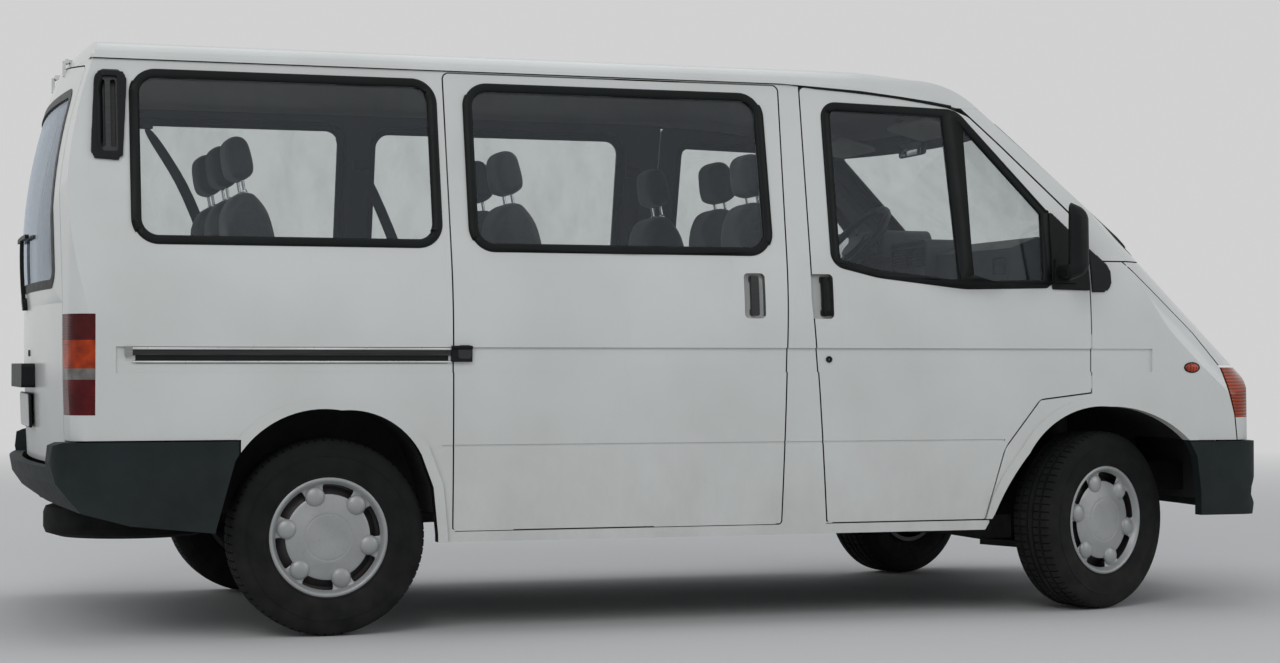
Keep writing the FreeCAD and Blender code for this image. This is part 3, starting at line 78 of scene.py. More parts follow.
def takeUp(piece):
    clearAll()
    piece.select_set(True)
    bpy.context.view_layer.objects.active = piece


def enterEdit(piece, mode="FACE"):
    takeUp(piece)
    bpy.ops.object.mode_set(mode="EDIT")
    bpy.ops.mesh.select_mode(type=mode)
    bpy.ops.mesh.select_all(action="DESELECT")


def leaveEdit():
    bpy.ops.object.mode_set(mode="OBJECT")


def pickAll():
    bpy.ops.mesh.select_all(action="SELECT")


def pick(piece, test):
    # selects the faces whose middle and normal pass the test
    mesh = bmesh.from_edit_mesh(piece.data)
    mesh.faces.ensure_lookup_table()
    for face in mesh.faces:
        face.select_set(bool(test(face.calc_center_median(), face.normal)))
    mesh.select_flush_mode()
    bmesh.update_edit_mesh(piece.data)


def pickEdges(piece, test):
    mesh = bmesh.from_edit_mesh(piece.data)
    for edge in mesh.edges:
        edge.select_set(bool(test(edge.verts[0].co, edge.verts[1].co)))
    bmesh.update_edit_mesh(piece.data)


def pickPoints(piece, test):
    mesh = bmesh.from_edit_mesh(piece.data)
    for point in mesh.verts:
        point.select_set(bool(test(point.co)))
    mesh.select_flush_mode()
    bmesh.update_edit_mesh(piece.data)


def facing(axis, sign=1, least=0.9):
    # a test for the faces that look along an axis: 0 is X, 1 is Y, 2 is Z
    return lambda middle, normal: normal[axis] * sign > least


def openAt(piece, test):
    enterEdit(piece)
    pick(piece, test)


def extrudeBy(step):
    bpy.ops.mesh.extrude_region_move(TRANSFORM_OT_translate={"value": step})


def applyPlace():
    bpy.ops.object.transform_apply(location=True, rotation=True, scale=True)


def softenPicked(piece, test, width, segments):
    # rounds the edges whose two ends pass the test
    enterEdit(piece, "EDGE")
    pickEdges(piece, test)
    bpy.ops.mesh.bevel(offset=width, segments=segments)
    leaveEdit()


def upright(a, b):
    # an edge that runs along Z
    return abs(a.x - b.x) < 1e-5 and abs(a.y - b.y) < 1e-5


def useModifier(piece, kind, name, **values):
    takeUp(piece)
    change = piece.modifiers.new(name, kind)
    for key, value in values.items():
        setattr(change, key, value)
    bpy.ops.object.modifier_apply(modifier=change.name)


def block(name, low, high):
    low, high = Vector(low), Vector(high)
    clearAll()
    bpy.ops.mesh.primitive_cube_add(size=1, location=(low + high) / 2)
    piece = bpy.context.active_object
    piece.name = name
    piece.scale = high - low
    applyPlace()
    return piece


def rod(name, start, end, radius, around=24):
    start, end = Vector(start), Vector(end)
    clearAll()
    bpy.ops.mesh.primitive_cylinder_add(vertices=around, radius=radius, depth=(end - start).length,
                                        location=(start + end) / 2)
    piece = bpy.context.active_object
    piece.name = name
    piece.rotation_euler = (end - start).to_track_quat("Z", "Y").to_euler()
    applyPlace()
    return piece


def ball(radius, at=(0, 0, 0), around=24, rings=16):
    clearAll()
    bpy.ops.mesh.primitive_uv_sphere_add(segments=around, ring_count=rings, radius=radius, location=at)
    return bpy.context.active_object


def cutBelow(piece, at, away):
    # keeps what lies beyond a plane, and closes the cut
    enterEdit(piece)
    pickAll()
    bpy.ops.mesh.bisect(plane_co=at, plane_no=away, use_fill=True, clear_inner=True)
    leaveEdit()


def roundEdges(piece, width, segments=3, angle=30):
    useModifier(piece, "BEVEL", "soft edges", width=width, segments=segments, limit_method="ANGLE",
                angle_limit=math.radians(angle))


def drawOn(points):
    for start, end in zip(points, points[1:]):
        extrudeBy(tuple(b - a for a, b in zip(start, end)))


def drawnLine(name, points):
    # one point drawn out along a chain of points, and left in edit mode
    clearAll()
    bpy.ops.mesh.primitive_plane_add(size=0.001)
    line = bpy.context.active_object
    line.name = name
    enterEdit(line, "VERT")
    pickAll()
    bpy.ops.mesh.merge(type="CENTER")
    pickAll()
    bpy.ops.transform.translate(value=points[0])
    drawOn(points)
    return line


def turnedPiece(name, profile, steps):
    # a profile of (along the axis, radius), spun round the Y axis
    piece = drawnLine(name, [(0, y, r) for y, r in profile])
    pickAll()
    bpy.ops.mesh.spin(steps=steps, angle=2 * math.pi, center=(0, 0, 0), axis=(0, 1, 0))
    pickAll()
    bpy.ops.mesh.remove_doubles(threshold=0.00005)
    bpy.ops.mesh.normals_make_consistent(inside=False)
    leaveEdit()
    return piece


def copyOf(piece, name):
    twin = piece.copy()
    twin.data = piece.data.copy()
    twin.name = name
    bpy.context.collection.objects.link(twin)
    return twin


def settle(piece, matrix):
    # moves a finished copy to its place and leaves its object at the origin
    takeUp(piece)
    piece.matrix_world = matrix
    applyPlace()


def joined(name, pieces):
    clearAll()
    for piece in pieces:
        piece.select_set(True)
    bpy.context.view_layer.objects.active = pieces[0]
    if len(pieces) > 1:
        bpy.ops.object.join()
    pieces[0].name = name
    return pieces[0]


def smooth(piece, angle=35):
    takeUp(piece)
    bpy.ops.object.shade_smooth_by_angle(angle=math.radians(angle))


def finished(piece, body, finish, angle=35):
    smooth(piece, angle)
    piece.data.materials.clear()
    piece.data.materials.append(finish)
    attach(piece, body)
    return piece


# Node helpers for the finishes. All patterns lie in Object coordinates.

socketNames = {
    "colour": "Base Color",
    "rough": "Roughness",
    "normal": "Normal",
    "metal": "Metallic",
    "coat": "Coat Weight",
    "coatRough": "Coat Roughness",
    "coatIndex": "Coat IOR",
    "spec": "Specular IOR Level",
    "sheen": "Sheen Weight",
    "sheenRough": "Sheen Roughness",
}


def feed(mat, socket, value):
    # wires in another node's output, or sets a number or a colour
    if isinstance(value, bpy.types.NodeSocket):
        mat.node_tree.links.new(value, socket)
    elif socket.type == "RGBA":
        socket.default_value = (*value, 1)
    else:
        socket.default_value = value


def dress(mat, **values):
    shader = mat.node_tree.nodes["Principled BSDF"]
    for key, value in values.items():
        feed(mat, shader.inputs[socketNames[key]], value)


def newFinish(name, colour, rough, **values):
    mat = bpy.data.materials.new(name)
    mat.use_nodes = True
    dress(mat, colour=colour, rough=rough, **values)
    return mat


def shade(colour, factor):
    return tuple(min(1.0, value * factor) for value in colour)


def node(mat, kind, inputs=None, **settings):
    made = mat.node_tree.nodes.new("ShaderNode" + kind)
    for key, value in settings.items():
        setattr(made, key, value)
    for key, value in (inputs or {}).items():
        feed(mat, made.inputs[key], value)
    return made


def place(mat, scale=(1, 1, 1)):
    coords = node(mat, "TexCoord").outputs["Object"]
    return node(mat, "Mapping", {"Scale": scale, "Vector": coords}).outputs["Vector"]


def noise(mat, scale, detail=2.0, stretch=(1, 1, 1), rough=0.5):
    inputs = {"Scale": scale, "Detail": detail, "Roughness": rough, "Vector": place(mat, stretch)}
    return node(mat, "TexNoise", inputs).outputs["Fac"]


def wave(mat, direction, scale, distortion=0.0):
    inputs = {"Scale": scale, "Distortion": distortion, "Vector": place(mat)}
    return node(mat, "TexWave", inputs, bands_direction=direction).outputs["Fac"]


def ranged(mat, value, low, high, outLow=0.0, outHigh=1.0):
    inputs = {"Value": value, "From Min": low, "From Max": high, "To Min": outLow, "To Max": outHigh}
    return node(mat, "MapRange", inputs).outputs["Result"]


def worked(mat, how, first, second=0.0):
    return node(mat, "Math", {0: first, 1: second}, operation=how).outputs[0]


def times(mat, first, second):
    return worked(mat, "MULTIPLY", first, second)


def under(mat, value, limit):
    return worked(mat, "LESS_THAN", value, limit)


def over(mat, value, limit):
    return worked(mat, "GREATER_THAN", value, limit)


def mixed(mat, factor, first, second):
    return node(mat, "Mix", {0: factor, 6: first, 7: second}, data_type="RGBA").outputs[2]


def blended(mat, share, first, second):
    return node(mat, "MixShader", {0: share, 1: first, 2: second}).outputs[0]


def split(mat, vector):
    return node(mat, "SeparateXYZ", {0: vector}).outputs


def spotOf(mat):
    return split(mat, place(mat))


def bump(mat, value, strength, distance=0.001):
    inputs = {"Strength": strength, "Distance": distance, "Height": value}
    return node(mat, "Bump", inputs).outputs["Normal"]


def vectorWork(mat, how, first, second=(0, 0, 0)):
    return node(mat, "VectorMath", {0: first, 1: second}, operation=how).outputs


def innerSide(mat, centre, weights):
    # 1 on the faces that look towards a node's own inside, from its place and its normal
    coords = node(mat, "TexCoord").outputs
    away = vectorWork(mat, "SUBTRACT", coords["Object"], centre)["Vector"]
    away = vectorWork(mat, "MULTIPLY", away, weights)["Vector"]
    turned = vectorWork(mat, "DOT_PRODUCT", away, coords["Normal"])["Value"]
    return under(mat, turned, -0.2)


paintLook = {
    "white": (0.77, 0.785, 0.765),
    "faded": (0.70, 0.715, 0.69),
    "dust": (0.42, 0.39, 0.33),
    "dustTop": 0.85,
    "dustBottom": 0.30,
    "trim": (0.055, 0.056, 0.055),
    "lining": (0.24, 0.225, 0.195),
    "bay": (0.05, 0.05, 0.05),
    # painted shade for the walls of the panel gaps
    "gap": (0.012, 0.012, 0.013),
}


def bodyPaint(name, centre, weights, trim, paintGapShade=False):
    look = paintLook
    mat = newFinish(name, look["white"], 0.34, coatRough=0.12, coatIndex=1.45)
    weather = ranged(mat, noise(mat, 2.2, 3), 0.35, 0.7)
    colour = mixed(mat, weather, look["white"], look["faded"])
    streaks = ranged(mat, noise(mat, 1.0, 4, (38, 38, 1.3), 0.6), 0.62, 0.85, 0.0, 0.09)
    colour = mixed(mat, streaks, colour, look["dust"])
    low = ranged(mat, spotOf(mat)["Z"], look["dustTop"], look["dustBottom"])
    spray = times(mat, low, ranged(mat, noise(mat, 9, 5, (1, 1, 0.6), 0.65), 0.3, 0.75, 0.04, 0.30))
    colour = mixed(mat, spray, colour, look["dust"])
    inside = innerSide(mat, centre, weights)
    grain = noise(mat, 420, 2)
    cloth = mixed(mat, ranged(mat, grain, 0.3, 0.7), shade(trim, 0.8), shade(trim, 1.15))
    colour = mixed(mat, inside, colour, cloth)
    if paintGapShade:
        # painted shade: the narrow walls of the panel gaps are painted near black, standing in for the shade
        # inside the gaps, but not the ledges that face up or the rear corner
        normal = split(mat, node(mat, "TexCoord").outputs["Normal"])
        wall = under(mat, worked(mat, "ABSOLUTE", normal["Y"]), 0.3)
        wall = times(mat, wall, under(mat, normal["Z"], 0.5))
        wall = times(mat, wall, over(mat, spotOf(mat)["X"], aft(-0.69)))
        colour = mixed(mat, wall, colour, look["gap"])
    rough = worked(mat, "ADD", 0.30, times(mat, spray, 0.5))
    rough = worked(mat, "ADD", rough, times(mat, inside, 0.5))
    coat = times(mat, worked(mat, "SUBTRACT", 1.0, inside), 0.55)
    peel = times(mat, noise(mat, 170, 1), 0.10)
    relief = worked(mat, "ADD", peel, times(mat, inside, grain))
    dress(mat, colour=colour, rough=rough, coat=coat, normal=bump(mat, relief, 0.25, 0.0008))
    return mat


def paneGlass(name, tint, shine):
    mat = bpy.data.materials.new(name)
    mat.use_nodes = True
    shaders = mat.node_tree.nodes
    shaders.remove(shaders["Principled BSDF"])
    smear = ranged(mat, noise(mat, 7, 4, (1, 1, 0.5), 0.6), 0.45, 0.8)
    clear = node(mat, "BsdfTransparent", {"Color": mixed(mat, smear, tint, shade(tint, 0.93))})
    gloss = node(mat, "BsdfGlossy", {"Roughness": 0.015, "Color": shine})
    angle = node(mat, "LayerWeight", {"Blend": 0.5}).outputs["Facing"]
    edge = worked(mat, "POWER", angle, 5.0)
    share = worked(mat, "ADD", times(mat, edge, 0.80), 0.034)
    pane = blended(mat, share, clear.outputs[0], gloss.outputs[0])
    feed(mat, shaders["Material Output"].inputs["Surface"], pane)
    return mat


def grained(name, colour, rough, scale=520, strength=0.3, dust=0.0, spec=0.5, pale=1.5):
    # moulded plastic, rubber or coated metal with a fine grain, wear and settled dust
    mat = newFinish(name, colour, rough, spec=spec)
    tone = mixed(mat, ranged(mat, noise(mat, 5, 4), 0.35, 0.75), colour, shade(colour, pale))
    if dust:
        patches = ranged(mat, noise(mat, 14, 5), 0.3, 0.8, 0.1, 1.0)
        low = times(mat, ranged(mat, spotOf(mat)["Z"], 0.75, 0.15), patches)
        tone = mixed(mat, times(mat, low, dust), tone, paintLook["dust"])
    rough = ranged(mat, noise(mat, 30, 3), 0.2, 0.8, rough - 0.07, rough + 0.08)
    dress(mat, colour=tone, rough=rough, normal=bump(mat, noise(mat, scale, 2), strength, 0.0006))
    return mat


tailLampLook = {
    "low": 0.737,
    "high": 1.063,
    "bands": [(0.0, (0.13, 0.003, 0.006)), (0.35, (0.26, 0.26, 0.24)), (0.46, (0.55, 0.055, 0.006)),
              (0.74, (0.11, 0.003, 0.005))],
}


def tailLampFinish():
    # reversing, turn and brake lamps as bands one above the other
    look = tailLampLook
    mat = newFinish("tailLampLens", (0.3, 0.01, 0.01), 0.16, coat=0.12, coatRough=0.04, spec=0.2)
    rise = ranged(mat, spotOf(mat)["Z"], look["low"], look["high"])
    bands = node(mat, "ValToRGB", {"Fac": rise})
    ramp = bands.color_ramp
    ramp.interpolation = "CONSTANT"
    while len(ramp.elements) < len(look["bands"]):
        ramp.elements.new(1.0)
    for element, (position, colour) in zip(ramp.elements, look["bands"]):
        element.position = position
        element.color = (*colour, 1)
    patches = ranged(mat, noise(mat, 22, 2), 0.35, 0.7)
    dark = mixed(mat, 0.55, bands.outputs[0], (0.02, 0.0, 0.0))
    dress(mat, colour=mixed(mat, patches, dark, bands.outputs[0]), normal=bump(mat, wave(mat, "Z", 60), 0.3))
    return mat


def lampLens(name, colour, deep, direction):
    mat = newFinish(name, colour, 0.12, coat=0.4, coatRough=0.03, spec=0.3)
    flutes = wave(mat, direction, 26)
    base = mixed(mat, ranged(mat, noise(mat, 16, 2), 0.3, 0.7), deep, colour)
    dress(mat, colour=mixed(mat, flutes, shade(deep, 0.6), base), normal=bump(mat, flutes, 0.5, 0.0015))
    return mat


def wovenCloth(name, light, dark):
    mat = newFinish(name, light, 0.92, sheen=0.35, sheenRough=0.5)
    across, along, deep = [wave(mat, direction, 190, 0.6) for direction in "YZX"]
    threads = worked(mat, "ADD", across, worked(mat, "ADD", along, deep))
    threads = times(mat, threads, 0.33)
    base = mixed(mat, ranged(mat, noise(mat, 150, 3), 0.35, 0.7), dark, light)
    dress(mat, colour=mixed(mat, threads, shade(dark, 0.7), base), normal=bump(mat, threads, 0.35, 0.0008))
    return mat


def brightMetal(name, colour, rough, rust=0.0):
    mat = newFinish(name, colour, rough, metal=0.9)
    tone = mixed(mat, ranged(mat, noise(mat, 4, 2), 0.3, 0.7), colour, shade(colour, 0.72))
    if rust:
        spots = ranged(mat, noise(mat, 26, 5, rough=0.7), 0.5, 0.72)
        tone = mixed(mat, times(mat, spots, rust), tone, (0.16, 0.065, 0.03))
    rough = ranged(mat, noise(mat, 60, 3), 0.2, 0.8, rough - 0.05, rough + 0.12)
    dress(mat, colour=tone, rough=rough, normal=bump(mat, noise(mat, 240, 3), 0.15, 0.0005))
    return mat


def silverPaint():
    # the moulded wheel covers: matt silver lacquer with road grime in the hollows
    mat = newFinish("wheelCoverSilver", (0.40, 0.41, 0.41), 0.42, metal=0.30, coat=0.3, coatRough=0.25)
    tone = mixed(mat, ranged(mat, noise(mat, 9, 4), 0.3, 0.7), (0.42, 0.43, 0.43), (0.34, 0.35, 0.35))
    specks = ranged(mat, noise(mat, 90, 5, rough=0.7), 0.58, 0.75, 0.0, 0.5)
    rough = ranged(mat, noise(mat, 40, 3), 0.2, 0.8, 0.36, 0.52)
    grain = bump(mat, noise(mat, 700, 2), 0.08, 0.0004)
    dress(mat, colour=mixed(mat, specks, tone, (0.20, 0.19, 0.17)), rough=rough, normal=grain)
    return mat


fittingLook = {
    "foot": 0.9255,
    "top": 0.9578,
    "front": aft(0.405),
    "rear": aft(-0.648),
    "middle": 0.9425,
    "channel": 0.0052,
    "black": ((0.015, 0.016, 0.017), (0.030, 0.031, 0.032)),
    "steel": ((0.07, 0.07, 0.068), (0.035, 0.035, 0.035)),
    "grey": ((0.34, 0.34, 0.33), (0.24, 0.24, 0.23)),
}


def sideFittings():
    # black mouldings, with the sliding door's rail in dark metal and its rear cap in grey
    look = fittingLook
    mat = newFinish("sideFittings", (0.018, 0.019, 0.020), 0.42)
    spot = spotOf(mat)
    band = times(mat, over(mat, spot["Z"], look["foot"]), under(mat, spot["Z"], look["top"]))
    band = times(mat, band, under(mat, spot["X"], look["front"]))
    cap = under(mat, spot["X"], look["rear"])
    lip = worked(mat, "ABSOLUTE", worked(mat, "SUBTRACT", spot["Z"], look["middle"]))
    metal = times(mat, band, over(mat, lip, look["channel"]))
    metal = times(mat, metal, worked(mat, "SUBTRACT", 1.0, cap))
    streak = ranged(mat, noise(mat, 30, 4, (0.2, 1, 6)), 0.35, 0.7)
    black, steel, grey = [mixed(mat, streak, *look[key]) for key in ("black", "steel", "grey")]
    colour = mixed(mat, times(mat, band, cap), mixed(mat, metal, black, steel), grey)
    rough = ranged(mat, metal, 0.0, 1.0, 0.45, 0.24)
    dress(mat, colour=colour, metal=metal, rough=rough, normal=bump(mat, noise(mat, 600, 2), 0.2, 0.0005))
    return mat


print("stage: finishes")
wingPaint = bodyPaint("whitePaintWings", (0, 0, 0), (0, 1, 0), paintLook["trim"])
sidePaint = bodyPaint("whitePaintSides", (0, 0, 0), (0, 1, 0), paintLook["trim"], True)
roofPaint = bodyPaint("whitePaintRoof", (0, 0, 1.2), (0, 0.15, 1), paintLook["lining"])
tailPaint = bodyPaint("whitePaintTailgate", (-1.9, 0, 1.1), (1, 0, 0), paintLook["trim"])
nosePaint = bodyPaint("whitePaintNose", (0.9, 0, 0.4), (1, 0.2, 1), paintLook["bay"])
windowGlass = paneGlass("windowGlass", (0.915, 0.930, 0.927), (0.80, 0.87, 0.96))
sealRubber = grained("sealRubber", (0.007, 0.009, 0.009), 0.48, 300, 0.12, spec=0.16)
bumperPlastic = grained("bumperPlastic", (0.011, 0.016, 0.017), 0.62, 420, 0.4, dust=0.04, spec=0.2, pale=1.6)
blackPlastic = grained("blackPlastic", (0.006, 0.007, 0.008), 0.45, 600, 0.2, spec=0.2)
darkPlastic = grained("greyDashPlastic", (0.034, 0.037, 0.037), 0.6, 700, 0.35)
tyreRubber = grained("tyreRubber", (0.007, 0.008, 0.008), 0.80, 260, 0.4, dust=0.05, spec=0.15, pale=1.6)
chassisBlack = grained("chassisBlack", (0.010, 0.010, 0.010), 0.75, 120, 0.5, dust=0.12, pale=1.7)
archBlack = grained("archBlack", (0.006, 0.006, 0.006), 0.9, 90, 0.5, dust=0.05, spec=0.2, pale=1.8)
floorRubber = grained("floorRubber", (0.012, 0.012, 0.013), 0.85, 160, 0.5)
tankPlastic = grained("tankPlastic", (0.03, 0.03, 0.03), 0.55, 200, 0.3, dust=0.3)
seatCloth = wovenCloth("seatCloth", (0.085, 0.090, 0.096), (0.042, 0.046, 0.051))
coverSilver = silverPaint()
plateWhite = grained("plateWhite", (0.62, 0.62, 0.60), 0.35, 240, 0.15, pale=1.1)
orangeLens = lampLens("repeaterLens", (0.85, 0.10, 0.01), (0.40, 0.03, 0.005), "X")
visorVinyl = grained("visorVinyl", (0.42, 0.40, 0.36), 0.7, 380, 0.35, pale=1.1)
beltWeave = wovenCloth("beltWeave", (0.045, 0.046, 0.050), (0.020, 0.021, 0.024))
gaugeFace = grained("gaugeFace", (0.010, 0.011, 0.013), 0.25, 300, 0.1)
steelDark = brightMetal("wheelSteel", (0.10, 0.10, 0.105), 0.5, 0.5)
exhaustSteel = brightMetal("exhaustSteel", (0.30, 0.27, 0.24), 0.5, 0.9)
mirrorSilver = brightMetal("mirrorSilver", (0.80, 0.82, 0.84), 0.03)
railSteel = brightMetal("railSteel", (0.86, 0.86, 0.84), 0.28)
sideFitting = sideFittings()
tailLens = tailLampFinish()
amberLens = lampLens("amberLens", (0.62, 0.075, 0.006), (0.30, 0.03, 0.003), "Z")
clearLens = lampLens("headlampLens", (0.66, 0.68, 0.70), (0.33, 0.35, 0.37), "Y")

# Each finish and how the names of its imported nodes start. The first match counts, and the rest is chassis.
finishRows = [
    (roofPaint, "roof"),
    (windowGlass, "windscreen side_glass door_glass tailgate_glass"),
    (sealRubber, "window_seals"),
    (blackPlastic, "door_trim tailgate_trim grille wipers steering_wheel"),
    (wingPaint, "wings"),
    (sidePaint, "door_ side_panel sliding"),
    (tailPaint, "tailgate"),
    (nosePaint, "bonnet screen_surround nose_panel"),
    (bumperPlastic, "bumper"),
    (clearLens, "headlamps"),
    (amberLens, "indicators"),
    (tailLens, "tail_lamps"),
    (sideFitting, "side_trim"),
    (darkPlastic, "dashboard"),
    (floorRubber, "floor_pan"),
    (archBlack, "bulkhead underframe rear_axle"),
    (tankPlastic, "fuel_tank"),
    (exhaustSteel, "exhaust"),
    (tyreRubber, "spare_wheel tyre"),
    (coverSilver, "rim"),
    (seatCloth, "front_seats bench"),
]
for nodeName, item in nodes.items():
    fitting = [finish for finish, starts in finishRows if nodeName.startswith(tuple(starts.split()))]
    item.data.materials.clear()
    item.data.materials.append((fitting + [chassisBlack])[0])

print("stage: wheels")
wheelLook = {
    "centre": 0.327,
    "plane": 0.820,
    "pin": 0.745,
    "steer": math.radians(21.7),
    "steps": 144,
    "shift": math.radians(1.6),
    "coverSteps": 120,
    "bossAngle": 12,
    "bossCircle": 0.141,
    "bossRadius": 0.0335,
    "bossShape": (1, 0.5, 1),
    "bossOut": 0.066,
    "bossFoot": 0.060,
    "shell": 0.0035,
    "slotIn": 0.1435,
    "slotOut": 0.1745,
    "slotHalf": 17,
    "ribs": ((0.0530, 0.0840), (0.0175, 0.0400)),
    "treadFrom": 0.318,
    "sipe": 0.0055,
}


def wheelMatrix(front, side):
    turn = Matrix.Rotation(0 if side > 0 else math.pi, 4, "Z")
    x = frontAxleX if front else rearAxleX
    spot = Matrix.Translation((0, side * (wheelLook["plane"] - wheelLook["pin"]), wheelLook["centre"]))
    steer = Matrix.Rotation(wheelLook["steer"] if front else 0.0, 4, "Z")
    return Matrix.Translation((x, side * wheelLook["pin"], 0)) @ steer @ spot @ turn


def makeTyre():
    look = wheelLook
    side = [(0.0775, 0.1905), (0.0820, 0.1985), (0.0850, 0.2030), (0.0835, 0.2060), (0.0865, 0.2130),
            (0.0935, 0.2340), (0.0970, 0.2560), (0.0975, 0.2690), (0.0990, 0.2700), (0.0990, 0.2745),
            (0.0970, 0.2755), (0.0950, 0.2930), (0.0905, 0.3080), (0.0835, 0.3185), (0.0740, 0.3240)]
    tread = [(0.0525, 0.3262), (0.0505, 0.3185), (0.0430, 0.3185), (0.0410, 0.3266),
             (0.0170, 0.3270), (0.0155, 0.3190), (0.0090, 0.3190), (0.0075, 0.3270)]
    half = side + tread
    profile = half + [(-y, r) for y, r in reversed(half)]
    profile += [(-0.070, 0.1890), (0.070, 0.1890), profile[0]]
    tyre = turnedPiece("tyre", profile, look["steps"])
    enterEdit(tyre, "VERT")
    step = 2 * math.pi / look["steps"]
    pickPoints(tyre, lambda p: round(math.atan2(p.x, p.z) / step) % 2 == 0)
    bpy.ops.transform.rotate(value=look["shift"], orient_axis="Y", center_override=(0, 0, 0))
    bpy.ops.mesh.select_mode(type="FACE")
    mesh = bmesh.from_edit_mesh(tyre.data)
    for face in mesh.faces:
        middle = face.calc_center_median()
        reach = math.hypot(middle.x, middle.z)
        inRib = any(low < abs(middle.y) < high for low, high in look["ribs"])
        spans = [math.atan2(v.co.x, v.co.z) for v in face.verts]
        width = max(spans) - min(spans)
        face.select_set(bool(reach > look["treadFrom"] and inRib and width < step * 0.9))
    bmesh.update_edit_mesh(tyre.data)
    bpy.ops.mesh.extrude_region_shrink_fatten(TRANSFORM_OT_shrink_fatten={"value": -look["sipe"]})
    leaveEdit()
    return tyre


def makeCover():
    look = wheelLook
    face = [(0.0780, 0.0), (0.0780, 0.040), (0.0775, 0.0755), (0.0762, 0.0765), (0.0762, 0.0790),
            (0.0772, 0.0800), (0.0745, 0.0950), (0.0690, 0.1200), (0.0655, look["slotIn"]), (0.0640, 0.1590),
            (0.0650, look["slotOut"]), (0.0700, 0.1790), (0.0790, 0.1835), (0.0850, 0.1890),
            (0.0855, 0.1940), (0.0830, 0.1985), (0.0780, 0.2020), (0.0730, 0.2030)]
    cover = turnedPiece("wheelCover", face, look["coverSteps"])
    enterEdit(cover)
    slotAngles = [look["bossAngle"] + 30 + 60 * k for k in range(6)]

    def inSlot(middle, normal):
        reach = math.hypot(middle.x, middle.z)
        angle = math.degrees(math.atan2(middle.z, middle.x)) % 360
        away = min(abs((angle - spot + 180) % 360 - 180) for spot in slotAngles)
        return look["slotIn"] < reach < look["slotOut"] and away < look["slotHalf"]

    pick(cover, inSlot)
    bpy.ops.mesh.delete(type="FACE")
    leaveEdit()
    useModifier(cover, "SOLIDIFY", "shell", thickness=look["shell"], offset=-1)
    useModifier(cover, "SUBSURF", "round", levels=1, render_levels=1)
    bosses = []
    for index in range(6):
        angle = math.radians(look["bossAngle"] + 60 * index)
        x, z = math.cos(angle) * look["bossCircle"], math.sin(angle) * look["bossCircle"]
        boss = ball(look["bossRadius"], (x, look["bossOut"], z), 32, 24)
        boss.scale = look["bossShape"]
        applyPlace()
        cutBelow(boss, (0, look["bossFoot"], 0), (0, 1, 0))
        bosses.append(boss)
    return joined("wheelCover", [cover] + bosses)


def makeSteel():
    profile = [(0.076, 0.1900), (-0.088, 0.1900), (-0.088, 0.1740), (-0.030, 0.1740), (0.020, 0.1730),
               (0.030, 0.1500), (0.048, 0.1150), (0.050, 0.0600), (0.050, 0.0250), (-0.066, 0.0250),
               (-0.066, 0.0700), (0.030, 0.0850), (0.036, 0.1100), (0.022, 0.1480), (0.022, 0.1800),
               (0.072, 0.1800), (0.076, 0.1900)]
    return turnedPiece("wheelSteel", profile, 72)


# Each piece of a wheel: master, name, slot, finish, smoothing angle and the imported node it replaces.
wheelRows = [
    (makeTyre(), "tyre", "tyre", tyreRubber, 28, "tyre_%s_%s"),
    (makeCover(), "wheelCover", "wheel_silver", coverSilver, 40, "rim_%s_%s"),
    (makeSteel(), "wheelSteel", "wheel_silver", steelDark, 40, None),
]
for front, end in ((True, "front"), (False, "rear")):
    for side, tag in sides:
        for master, name, slotName, finish, angle, packed in wheelRows:
            piece = copyOf(master, name + end.capitalize() + tag.capitalize())
            settle(piece, wheelMatrix(front, side))
            finished(piece, "wheel_%s_%s" % (end, tag), finish, angle)
            if packed:
                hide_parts(packed % (end, tag))
for row in wheelRows:
    bpy.data.objects.remove(row[0])

print("stage: seats")
seatLook = {
    "voxel": 0.018,
    "pressure": 4.0,
    "frames": 20,
    "travel": 0.026,
    "fill": 0.6,
    "restFill": 0.7,
    "cushion": (0.44, 0.37, 0.105),
    "cushionDroop": 0.012,
    "cushionRounding": 0.035,
    "cushionAt": (0.018, 0.778),
    "back": (0.115, 0.37, 0.68),
    "shoulders": ((0.13, (0.95, 0.84, 1)), (0.07, (0.8, 0.66, 1))),
    "backRounding": 0.026,
    "backAt": (0.072, 0.806),
    "rest": (0.098, 0.235, 0.160),
    "restTaper": (0.86, 0.86, 1),
    "restRounding": 0.042,
    "rake": math.radians(10.5),
    "spread": 0.93,
    "seamHalf": 0.006,
    "seamReach": 0.016,
    "longSeam": 0.006,
    "crossSeam": 0.005,
    "stalkApart": (-0.055, 0.055),
    "stalk": (-0.06, 0.05, 0.0055),
    "sleeve": (-0.050, -0.034, 0.010),
}
# Each row: node, seat's x, middle across, width, backrest's stretch, headrest's x and foot.
seatRows = [
    ("front_seats", fore(-1.150), 0.470, 0.50, 1.08, aft(1.595), 1.540),
    ("front_seats", fore(-1.150), -0.625, 0.40, 1.06, aft(1.600), 1.508),
    ("front_seats", fore(-1.150), -0.265, 0.40, 1.06, aft(1.605), 1.508),
]
for across in (-0.600, -0.180, 0.240):
    seatRows.append(("bench_middle", aft(0.785), across, 0.42, 1.03, aft(0.690), 1.496))
for across in (-0.385, 0.0, 0.385):
    seatRows.append(("bench_rear", aft(-0.110), across, 0.38, 1.08, aft(-0.220), 1.540))


